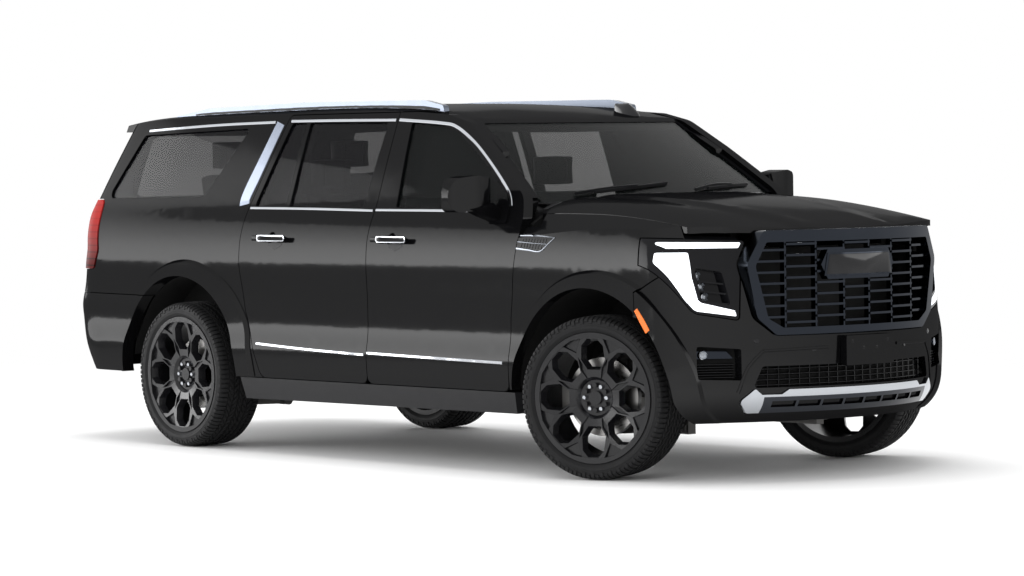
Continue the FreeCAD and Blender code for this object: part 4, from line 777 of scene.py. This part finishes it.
def handle(name, side, door, x):
    body = f"door_{door[0]}{name[0]}"
    for part, look, width, height, lift in HANDLE_PARTS:
        plate(f"handle_{door}_{name}_{part}", look, body, "bright_bar",
              rounded(oblong(x, HANDLE_HEIGHT, width, height), height * 0.4), 0.006, 0.001,
              on_side(side, HANDLE_FACE + lift))
    # The strip under the grip is flat and dark: painted shade where the finger scoop's recess would be.
    scoop_shade = [(x - 0.060, 1.140), (x, 1.134), (x + 0.060, 1.140)]
    swept(f"handle_{door}_{name}_scoop", "trim", body, "trim",
          (from_side(skin_of(f"door_{door}_{name}"), scoop_shade, side), (0.010, 0.046, 0.010), 0.001))


def mirror_glass(name, side):
    turn = Matrix.Translation((MIRROR_PLACE[0], side * MIRROR_PLACE[1], 0))
    turn = turn @ Matrix.Rotation(side * MIRROR_TURN, 4, "Z")
    plate(f"mirror_glass_{name}", "mirror_glass", "door_f" + name[0], "bright_bar",
          rounded(oblong(0.0, MIRROR_HEIGHT, 0.160, 0.112), 0.022), 0.004, 0.002,
          lambda u, v, w: turn @ Vector((0.008 - w, u, v)))


# %% [markdown]
# ## Wing vents and arch markers
# Behind each front wheel, the wing carries a slanted vent: a bright frame with a bar across it, over a dark,
# slotted ground. An amber marker lies on the bumper's edge, in front of the wheel arch.

# %%
VENT = [(1.369, 1.201), (1.652, 1.190), (1.550, 1.122), (1.369, 1.135)]
VENT_BAR = [(1.375, 1.168), (1.50, 1.161), (1.600, 1.157)]
MARKER = [(2.243, 0.845), (2.300, 0.765), (2.366, 0.660), (2.396, 0.600)]


def vent_slats(skin, side):
    """Nine upright slats, each as tall as the slanted opening at its place."""
    slats = []
    for k in range(9):
        x = 1.40 + 0.022 * k
        foot = 1.143 - (x - 1.385) * 0.069
        top = min(1.192 - (x - 1.385) * 0.034, 1.184)
        slat = [(x, foot), (x + 0.006, (foot + top) / 2), (x + 0.012, top)]
        slats.append((from_side(skin, slat, side), 0.012, 0.002))
    return slats


def wing_vent(name, side):
    skin = skin_of("front_fenders")
    swept(f"wing_vent_ground_{name}", "trim", "body", "trim", *vent_slats(skin, side))
    upper = [VENT[0], (1.51, 1.199), VENT[1]]
    lower = [VENT[3], (1.46, 1.128), VENT[2], (1.610, 1.160), VENT[1]]
    swept(f"wing_vent_{name}", "vent_metal", "body", "bright_bar",
          (from_side(skin, upper, side), (0.016, 0.010, 0.004), 0.004),
          (from_side(skin, lower, side), (0.014, 0.010, 0.005), 0.004),
          (from_side(skin, VENT_BAR, side), (0.007, 0.004), 0.004))


def arch_marker(name, side):
    swept(f"arch_marker_{name}", "amber", "body", "lamp",
          (from_side(skin_of("front_bumper"), MARKER, side), (0.024, 0.032, 0.030), 0.003))


# %% [markdown]
# ## Rail skirts
# The real roof rails stand on a dark foot. A dark band is laid over the lower third of each rail: at each
# station along the rail, rays from the side find how low and how high it reaches there.

# %%
SKIRT_STATIONS, SKIRT_SHARE, SKIRT_LIFT, SKIRT_DEPTH = 53, 0.36, 0.0025, 0.004


def rail_skirt(name, side):
    bm = bmesh.new()
    rail, band = skin_of("roof_rails"), []
    for x in [-1.96 + 0.045 * k for k in range(SKIRT_STATIONS)]:
        starts = [Vector((x, side * 1.5, 1.95 - 0.002 * k)) for k in range(90)]
        reached = [p for p, _ in hits(rail, starts, Vector((0, -side, 0)))]
        if reached:
            low, top = min(p.z for p in reached), max(p.z for p in reached)
            if top > low + 0.020:
                high = low + SKIRT_SHARE * (top - low)
                wide = max(abs(p.y) for p in reached) + SKIRT_LIFT
                inner = wide - SKIRT_DEPTH
                band.append([bm.verts.new((x, side * y, z)) for y, z in
                             ((wide, low), (wide, high), (inner, high), (inner, low))])
    joined(bm, band)
    finished(f"rail_skirt_{name}", bm, "trim", "body")


for name, side in SIDES:
    for door, x in HANDLE_PLACES:
        handle(name, side, door, x)
    mirror_glass(name, side)
    wing_vent(name, side)
    arch_marker(name, side)
    rail_skirt(name, side)
print("small side pieces:", len(made))

# %% [markdown]
# ## The bumper's mouth
# A raised lip lies above the intake and runs down beside it to the skid bar.

# %%
bumper = skin_of("front_bumper")
MOUTH_TOP = [(0.235, 0.649), (0.40, 0.645), (0.56, 0.640)]
MOUTH_SIDE = [(0.56, 0.640), (0.625, 0.560), (0.665, 0.440)]

for name, side in SIDES:
    swept(f"mouth_lip_{name}", "paint", "body", "paint",
          (from_end(bumper, MOUTH_TOP, side), (0.016, 0.014), 0.006),
          (from_end(bumper, MOUTH_SIDE, side), (0.014, 0.018), 0.006))
print("with the mouth's lips:", len(made))

# %% [markdown]
# ## Lamps at the front
# Three projector lenses sit on shelves inside each headlamp, each in a bright bezel. A lens bends the light
# of its diode into a sharp-edged beam, which is why it is thick and strongly curved.

# %%
PROJECTORS = [(0.790, 1.004), (0.778, 0.953), (0.768, 0.903)]
BEZEL_PROFILE = [(0.0245, -0.010), (0.0245, 0.008), (0.0220, 0.0100), (0.0190, 0.004), (0.0190, -0.010)]
LENS_PROFILE = [(0.0195, -0.004), (0.0195, 0.0035), (0.0165, 0.0070), (0.0110, 0.0095), (0.0050, 0.0105)]



def lamp_pair(names, rim, rim_count, lens, lens_count, places):
    """Bright rims with their lenses, one of each at every place."""
    rims, lenses = bmesh.new(), bmesh.new()
    for place in places:
        turned(rims, rim, place, rim_count, closed=True)
        turned(lenses, lens, place, lens_count)
    finished(names[0], rims, "bright_bar", "body")
    finished(names[1], lenses, "lens", "body")


def facing_front(x, y, z):
    return lambda u, v, w: Vector((x + w, y + u, z + v))


headlamps = skin_of("headlamps")
for name, side in SIDES:
    places = [facing_front(reach_at(headlamps, side * y, z) + 0.006, side * y, z) for y, z in PROJECTORS]
    lamp_pair((f"lamp_bezels_{name}", f"lamp_lenses_{name}"), BEZEL_PROFILE, 28, LENS_PROFILE, 24, places)
print("with the projectors:", len(made))

# %% [markdown]
# ## The intake
# Below the grille, the bumper has a wide air intake backed by a mesh. It is open in the solid, so its floor
# is laid behind the opening, on the same curve as the bumper.

# %%
BUMPER_NOSE, BUMPER_BOW = 2.805, 0.35


def across(y0, y1, z, back, count=25):
    """Places on the bumper's own bow, set back behind its face."""
    spots = []
    for k in range(count):
        y = y0 + (y1 - y0) * k / (count - 1)
        normal = Vector((1.0, 2.0 * BUMPER_BOW * y, 0.0)).normalized()
        spots.append((Vector((BUMPER_NOSE - back - BUMPER_BOW * y * y, y, z)), normal))
    return spots


def mesh_upright(y):
    """One short upright of the mesh, through three heights."""
    return [across(y, y, z, 0.062, 2)[0] for z in (0.446, 0.510, 0.574)]


uprights = [(mesh_upright(-0.56 + 0.056 * k), 0.006, 0.005) for k in range(21)]
bars = [(across(-0.57, 0.57, z, 0.060), 0.007, 0.006) for z in (0.472, 0.498, 0.524, 0.550)]
swept("intake_back", "liner", "body", "trim", (across(-0.575, 0.575, 0.510, 0.075), 0.138, 0.004))
swept("intake_mesh", "gloss_black", "body", "trim", *uprights, *bars)
print("strips in the mesh:", len(uprights) + len(bars))

# %% [markdown]
# ## Fog pockets
# A pocket on each side of the bumper has a fog lamp over a row of louvres, with a panel of dark chrome behind
# the lamp. Its floor slants with the bumper's corner. Two sensors for parking show as small discs.

# %%
POCKET_FRONT, POCKET_SLANT, POCKET_START = 2.572, 0.655, 0.680
FOG_LAMP, FOG_NARROWING = (0.800, 0.625), 0.84
FOG_RIM = [(0.0215, -0.012), (0.0215, 0.004), (0.0195, 0.006), (0.0180, 0.001), (0.0180, -0.012)]
FOG_LENS = [(0.0180, -0.012), (0.0180, 0.001), (0.0140, 0.005), (0.0060, 0.007)]
FOG_PANEL = [(0.670, 0.606), (0.832, 0.606), (0.832, 0.644), (0.700, 0.644)]
SENSORS = ((0.311, 0.642), (0.590, 0.690))
SENSOR = [(0.0125, -0.004), (0.0125, 0.001), (0.0115, 0.0022), (0.004, 0.003)]


def in_pocket(side, lift=0.0):
    """Places in a fog lamp's pocket."""
    return lambda u, v, w: Vector((POCKET_FRONT - POCKET_SLANT * (u - POCKET_START) + w + lift, side * u, v))


def louvres(side):
    pocket, lean = in_pocket(side), Vector((1.0, side * 0.55, 0.0)).normalized()
    rows = [0.516 + 0.0125 * k for k in range(6)]
    stations = (0.664, 0.710, 0.755, 0.800, 0.836)
    return [([(pocket(u, z, 0.001), lean) for u in stations], 0.006, 0.022) for z in rows]


def fog_lamp(name, side):
    y, z = FOG_LAMP
    pocket = in_pocket(side, 0.024)
    lamp_pair((f"fog_lamp_rim_{name}", f"fog_lamp_lens_{name}"), FOG_RIM, 32, FOG_LENS, 28,
              [lambda u, v, w: pocket(y + u * FOG_NARROWING, z + v, w)])


def sensors(name, side):
    bm = bmesh.new()
    for y, z in SENSORS:
        x = reach_at(bumper, side * y, z)
        turned(bm, SENSOR, lambda u, v, w: Vector((x + w - 0.4 * u * side, side * y + u, z + v)), 24)
    finished(f"parking_sensors_{name}", bm, "gloss_black", "body")


for name, side in SIDES:
    plate(f"fog_pocket_{name}", "liner", "body", "trim",
          rounded(oblong(0.750, 0.583, 0.196, 0.160), 0.010), 0.012, 0.002, in_pocket(side))
    swept(f"fog_louvres_{name}", "gloss_black", "body", "trim", *louvres(side))
    plate(f"fog_mirror_{name}", "grille", "body", "grille", rounded(FOG_PANEL, 0.006), 0.020, 0.002,
          in_pocket(side, 0.016))
    fog_lamp(name, side)
    sensors(name, side)
print("with the pockets:", len(made))

# %% [markdown]
# ## The plate's bracket and the blank badge
# The bracket for a plate has four screw holes with dark eyelets, and no plate. The grille carries a long
# badge plate. Here it stays blank: a dark plate with softened corners inside a narrow metal rim, both bowed
# like the grille behind them.

# %%
EYELETS = ((-0.121, 0.674), (0.121, 0.674), (-0.045, 0.640), (0.045, 0.640))
EYELET = [(0.0085, 0.0), (0.0085, 0.0035), (0.0060, 0.0040), (0.0045, 0.0015), (0.0045, 0.0)]
bracket_x = reach_at(bumper, 0.0, 0.642) - 0.0038

bm = bmesh.new()
for y, z in EYELETS:
    turned(bm, EYELET, facing_front(bracket_x, y, z), 20, closed=True)
finished("bracket_eyelets", bm, "gloss_black", "body")
GRILLE_BOW, BADGE_HEIGHT, BADGE_LIMIT = 0.30, 1.049, 2.85
BADGE_PARTS = (("badge_rim", "grille", 0.993, 1.105, 0.232, 0.006),
               ("badge_plate", "gloss_black", 1.000, 1.098, 0.222, 0.009))
badge_x = reach_at(skin_of("grille"), 0.0, BADGE_HEIGHT)


def bowed(lift):
    return lambda u, v, w: Vector((min(badge_x - GRILLE_BOW * u * u + (w + lift), BADGE_LIMIT), u, v))


def bowed_bar(z0, z1, half, lean=0.020):
    """An outline with enough points across to follow the bow."""
    across_low = [(half * (k / 8.0 - 1.0), z0) for k in range(17)]
    across_high = [((half - lean) * (1.0 - k / 8.0), z1) for k in range(17)]
    return [Vector(p) for p in across_low + across_high]


for piece, look, low, high, half, lift in BADGE_PARTS:
    plate(piece, look, "body", "grille", bowed_bar(low, high, half), 0.008, 0.003, bowed(lift))
print("front pieces:", len(made))

# %% [markdown]
# ## Wipers and roof antenna
# The wiper arms lie low on the foot of the screen, each with a spring-loaded arm and a rubber blade. The
# antenna is a short fin that leans back into the wind. It is stacked from thin pointed sections.

# %%
WIPERS = (((-0.60, 1.392), [(-0.48, 1.402), (-0.20, 1.424), (0.02, 1.440)]),
          ((0.16, 1.398), [(0.28, 1.408), (0.50, 1.420), (0.66, 1.424)]))
FIN_FRONT, FIN_LENGTH, FIN_Y, FIN_FOOT, FIN_HEIGHT = 0.72, 0.20, 0.42, 1.800, 0.072

screen = skin_of("windscreen")
strips = []
for pivot, reach in WIPERS:
    elbow = ((pivot[0] + reach[1][0]) / 2, pivot[1] + 0.020)
    strips.append((from_end(screen, reach), 0.012, 0.016, 0.0))
    strips.append((from_end(screen, [pivot, elbow, reach[1]]), 0.014, 0.024, -0.008))
swept("wipers", "trim", "body", "trim", *strips)


def fin_section(bm, t):
    """One section of the fin, at this share of its height. The higher, the shorter and further back."""
    front = FIN_FRONT - FIN_LENGTH * 0.40 * t ** 1.5
    half = 0.034 * (1.0 - t) ** 0.6 + 0.006
    chord = FIN_LENGTH * (1.0 - 0.45 * t ** 1.5)
    ring = []
    for i in range(20):
        turn = 2.0 * math.pi * i / 20
        along = (1.0 - math.cos(turn)) / 2.0
        y = FIN_Y + half * math.sin(turn) * (1.2 - 0.6 * along)
        ring.append(bm.verts.new((front - chord * along, y, FIN_FOOT + FIN_HEIGHT * t)))
    return ring


bm = bmesh.new()
joined(bm, [fin_section(bm, k / 8.0) for k in range(9)])
finished("roof_antenna", bm, "gloss_black", "body", 50.0)
print("with the antenna:", len(made))

# %% [markdown]
# ## The back
# The tailgate carries a bright strip, a dark bed for a plate, left empty, and a wiper on its glass. Two red
# reflectors sit in the bumper.

# %%
STRIP_PATH = [(-0.56, 1.285), (0.0, 1.285), (0.56, 1.285)]
WIPER_ARM = [(-0.02, 1.415), (0.14, 1.435), (0.32, 1.440)]
WIPER_BLADE = [(0.02, 1.440), (0.20, 1.452), (0.40, 1.455)]
REFLECTOR = [(0.60, 0.700), (0.66, 0.703), (0.72, 0.708)]

tail = skin_of("tailgate", "tailgate_glass", "rear_bumper")


def from_back(points, side=1.0):
    return from_end(tail, points, side, -1.0)


swept("gate_strip", "bright_bar", "liftgate", "bright_bar",
      (from_back(STRIP_PATH), (0.020, 0.034, 0.020), 0.006))
bed_x = min(reach_at(tail, y, z, -1.0) for y in (-0.2, 0.0, 0.2) for z in (0.98, 1.07, 1.16)) - 0.002
plate("gate_plate_bed", "gloss_black", "liftgate", "trim", rounded(oblong(0.0, 1.070, 0.40, 0.200), 0.02),
      0.020, 0.004, lambda u, v, w: Vector((bed_x - w, u, v)))
swept("rear_wiper", "trim", "liftgate", "trim",
      (from_back(WIPER_ARM), (0.022, 0.012), 0.014), (from_back(WIPER_BLADE), 0.010, 0.020))
swept("rear_reflectors", "reflector", "body", "tail_lamp",
      *[(from_back(REFLECTOR, side), 0.024, 0.003) for side in (-1, 1)])
print("pieces with the back:", len(made))

# %% [markdown]
# ## Seats
# Three rows of leather seats show through the glass. Each cushion is a crowned closed form: a box whose faces
# bulge and whose sides pull in between the corners, with sewn channels pressed in across it. The bolsters at
# the sides stand higher than the middle, as they must to hold a driver in a bend. Then the leather is
# simulated as cloth under a little pressure: seams and underside are held, and what lies between them swells.

# %%
GRID = (24, 28, 8)
CHANNEL_WIDTH, BOLSTER_EDGE = 0.04, 4 / 7
CLOTH_PRESSURE, CLOTH_STEPS, CLOTH_CAP = 4.0, 20, 0.007


def pillow(bm, size, place, channels=(), bolster=0.0, rounding=0.28):
    """A crowned form of half sizes, from a cube's grid with rounded edges. Returns its held points."""
    verts, held = {}, []

    def spot(a, b, c):
        key = (round(a, 4), round(b, 4), round(c, 4))
        if key not in verts:
            long = max(abs(a), abs(b), abs(c))
            blunt = (abs(a) ** 5 + abs(b) ** 5 + abs(c) ** 5) ** 0.2
            u, v, w = (q * (1.0 - rounding + rounding * long / blunt) for q in (a, b, c))
            pull = 0.05 * (1.0 - b * b) * abs(a) ** 3
            u, v = u * (1.0 - pull), v * (1.0 - 0.05 * (1.0 - a * a) * abs(b) ** 3)
            w *= 0.80 + 0.20 * (1.0 - a * a) * (1.0 - b * b) + bolster * max(0.0, abs(b) - 0.57) * 2.0
            pressed = [0.10 * math.exp(-((a - line) / CHANNEL_WIDTH) ** 2) for line in channels]
            seam = 0.12 * math.exp(-((abs(b) - BOLSTER_EDGE) / CHANNEL_WIDTH) ** 2)
            sunk = (sum(pressed) * (abs(b) < 0.58) + seam) * (c > 0)
            verts[key] = bm.verts.new(place(u * size[0], v * size[1], (w - sunk) * size[2]))
            if sunk > 0.05 or c == -1.0:
                held.append(verts[key])
        return verts[key]

    for axis in range(3):
        first, second = [k for k in range(3) if k != axis]
        for end in (-1.0, 1.0):
            for i in range(GRID[first]):
                for j in range(GRID[second]):
                    quad = []
                    for di, dj in ((0, 0), (1, 0), (1, 1), (0, 1)):
                        at = [0.0, 0.0, 0.0]
                        at[axis] = end
                        at[first] = 2.0 * (i + di) / GRID[first] - 1.0
                        at[second] = 2.0 * (j + dj) / GRID[second] - 1.0
                        quad.append(spot(*at))
                    bm.faces.new(quad)
    return held


def seat_pads(bm, x, y, width, z, back_height):
    """One seat: cushion, leaning back and head restraint, a little smaller than its CAD solid's room."""
    held = pillow(bm, (0.201, width / 2 - 0.005, 0.076),
                  lambda u, v, w: Vector((x + 0.070 + u, y + v, z + 0.262 + w)),
                  (-0.5, -1 / 6, 1 / 6, 0.5), 0.35)
    low = Vector((x - 0.195, y, z + 0.20))
    high = Vector((x - 0.305, y, z + 0.316 + back_height))
    up = (high - low).normalized()
    forward = Vector((up.z, 0.0, -up.x))
    middle, half = (low + high) / 2, (high - low).length / 2
    held += pillow(bm, (half - 0.004, width / 2 - 0.005, 0.056),
                   lambda u, v, w: middle + up * u + forward * w + Vector((0, v, 0)),
                   (-7 / 12, -0.25, 0.0, 0.25, 7 / 12), 0.5)
    held += pillow(bm, (0.079, 0.125, 0.047),
                   lambda u, v, w: Vector((x - 0.333 + w, y + v, z + back_height + 0.415 + u)), rounding=0.5)
    return held


def puffed(piece, held):
    """Swells a padded piece as cloth between its held seams, and keeps the result in its mesh."""
    start = [vert.co.copy() for vert in piece.data.vertices]
    piece.vertex_groups.new(name="seams").add(held, 1.0, "REPLACE")
    cloth = piece.modifiers.new("cloth", "CLOTH")
    cloth.settings.use_pressure = True
    cloth.settings.uniform_pressure_force = CLOTH_PRESSURE
    cloth.settings.effector_weights.gravity = 0.0
    cloth.settings.vertex_group_mass = "seams"
    for number in range(1, CLOTH_STEPS + 1):
        scene.frame_set(number)
    swollen = piece.evaluated_get(bpy.context.evaluated_depsgraph_get()).data
    moves = [new.co - old for new, old in zip(swollen.vertices, start)]
    piece.modifiers.remove(cloth)
    for vert, old, move in zip(piece.data.vertices, start, moves):
        vert.co = old + move * min(1.0, CLOTH_CAP / max(move.length, 1e-9))
    scene.frame_set(1)
    most = max(move.length for move in moves)
    print(piece.name, "swelled by up to", round(1000.0 * most, 1), "mm before the cap")


ROWS = {
    "seats_front": [(0.330, y, 0.500, 0.5003, 0.600) for y in (-0.430, 0.430)],
    "seats_middle": [(-0.600, y, 0.520, 0.5003, 0.600) for y in (-0.400, 0.400)],
    "seats_rear": [(-1.500, y, 0.420, 0.6903, 0.520) for y in (-0.425, 0.0, 0.425)],
}
for node, seats in ROWS.items():
    bm = bmesh.new()
    held = [vert for seat in seats for vert in seat_pads(bm, *seat)]
    bm.verts.index_update()
    seams = [vert.index for vert in held]
    pads = finished(node + "_pads", bm, "seat", "body", 60.0, replaces=(node,))
    puffed(pads, seams)
print("seats:", made[-1])

# %% [markdown]
# ## Light and floor
# A black car shows only what it mirrors, so the room is white and even, and soft area lamps add the long
# highlights along the hood and shoulder. The floor is a pale disc that fades out at its rim, so that it
# meets the white room without a horizon and still catches the car's soft shadow.

# %%
def area_lamp(name, place, size, watts, aim=(0.0, 0.0, 0.8), mirrored=True, fade=0.0):
    """A soft lamp. A mirrored one also shows in the paint, where fade makes it dimmer towards its top."""
    data = bpy.data.lights.new(name, "AREA")
    data.shape, data.size, data.size_y, data.energy = "RECTANGLE", size[0], size[1], watts
    if fade:
        data.use_nodes = True
        tree = data.node_tree
        glow = next(n for n in tree.nodes if n.type == "EMISSION")
        height = split_axes(node_in(tree, "ShaderNodeNewGeometry", out="Parametric"))[1]
        tree.links.new((1.0 - height * fade).link, glow.inputs["Color"])
    lamp = added(name, data)
    lamp.location = place
    lamp.visible_glossy, lamp.visible_camera = mirrored, False
    lamp.rotation_euler = (Vector(aim) - Vector(place)).to_track_quat("-Z", "Y").to_euler()


area_lamp("overhead", (0.0, 0.0, 6.5), (7.0, 4.0), 380.0, mirrored=False)
area_lamp("front_side", (6.5, -6.5, 3.8), (3.5, 2.5), 140.0, mirrored=False)
area_lamp("shoulder_box", (-10.0, -8.4, 3.6), (22.0, 5.6), 3300.0, aim=(0.0, 0.0, 3.6), fade=0.80)
area_lamp("hood_box", (-9.0, 7.6, 3.4), (8.0, 3.0), 230.0, fade=0.5)
area_lamp("nose_box", (9.2, 7.4, 3.9), (7.0, 4.4), 270.0, aim=(0.0, 0.0, 3.0), fade=0.6)

world = bpy.data.worlds.new("white_room")
world.use_nodes = True
scene.world = world
tree = world.node_tree
camera_ray, glossy_ray, clear_ray = [node_in(tree, "ShaderNodeLightPath", out=f"Is {kind} Ray")
                                     for kind in ("Camera", "Glossy", "Transmission")]
strength = (camera_ray + glossy_ray + clear_ray).clipped() * 0.30 + 0.70
ground = next(n for n in tree.nodes if n.type == "BACKGROUND")
ground.inputs["Color"].default_value = (1.0, 1.0, 1.0, 1.0)
tree.links.new(strength.link, ground.inputs["Strength"])


FLOOR_RADII, FADE_FROM, FADE_OVER = (0.02, 3.0, 6.0, 9.0, 12.0), 4.0, 6.5


def floor_disc():
    bm = bmesh.new()
    rings = [circle(bm, radius, 0.0, flat, 96) for radius in FLOOR_RADII]
    for a, b in zip(rings, rings[1:]):
        for k in range(96):
            bm.faces.new((a[k], b[k], b[(k + 1) % 96], a[(k + 1) % 96]))
    bm.faces.new(rings[0])
    mesh = mesh_of("floor", bm)
    made_of = Finish("pale_floor", base_color=(0.90, 0.90, 0.90), roughness=0.75, specular_IOR_level=0.1)
    x, y, _ = split_axes(made_of.place())
    far = (x * x + y * y).apply("SQRT")
    fade = ((far - FADE_FROM) / FADE_OVER).clipped()
    made_of.feed("Alpha", 1.0 - fade * fade * (3.0 - fade * 2.0))
    mesh.materials.append(made_of.material)
    added("floor", mesh)


floor_disc()
scene.view_settings.view_transform = "Standard"

# %% [markdown]
# ## The count
# The pieces made here and their faces are counted and printed.


print("pieces", len(made), "faces", sum(count for _, count in made))
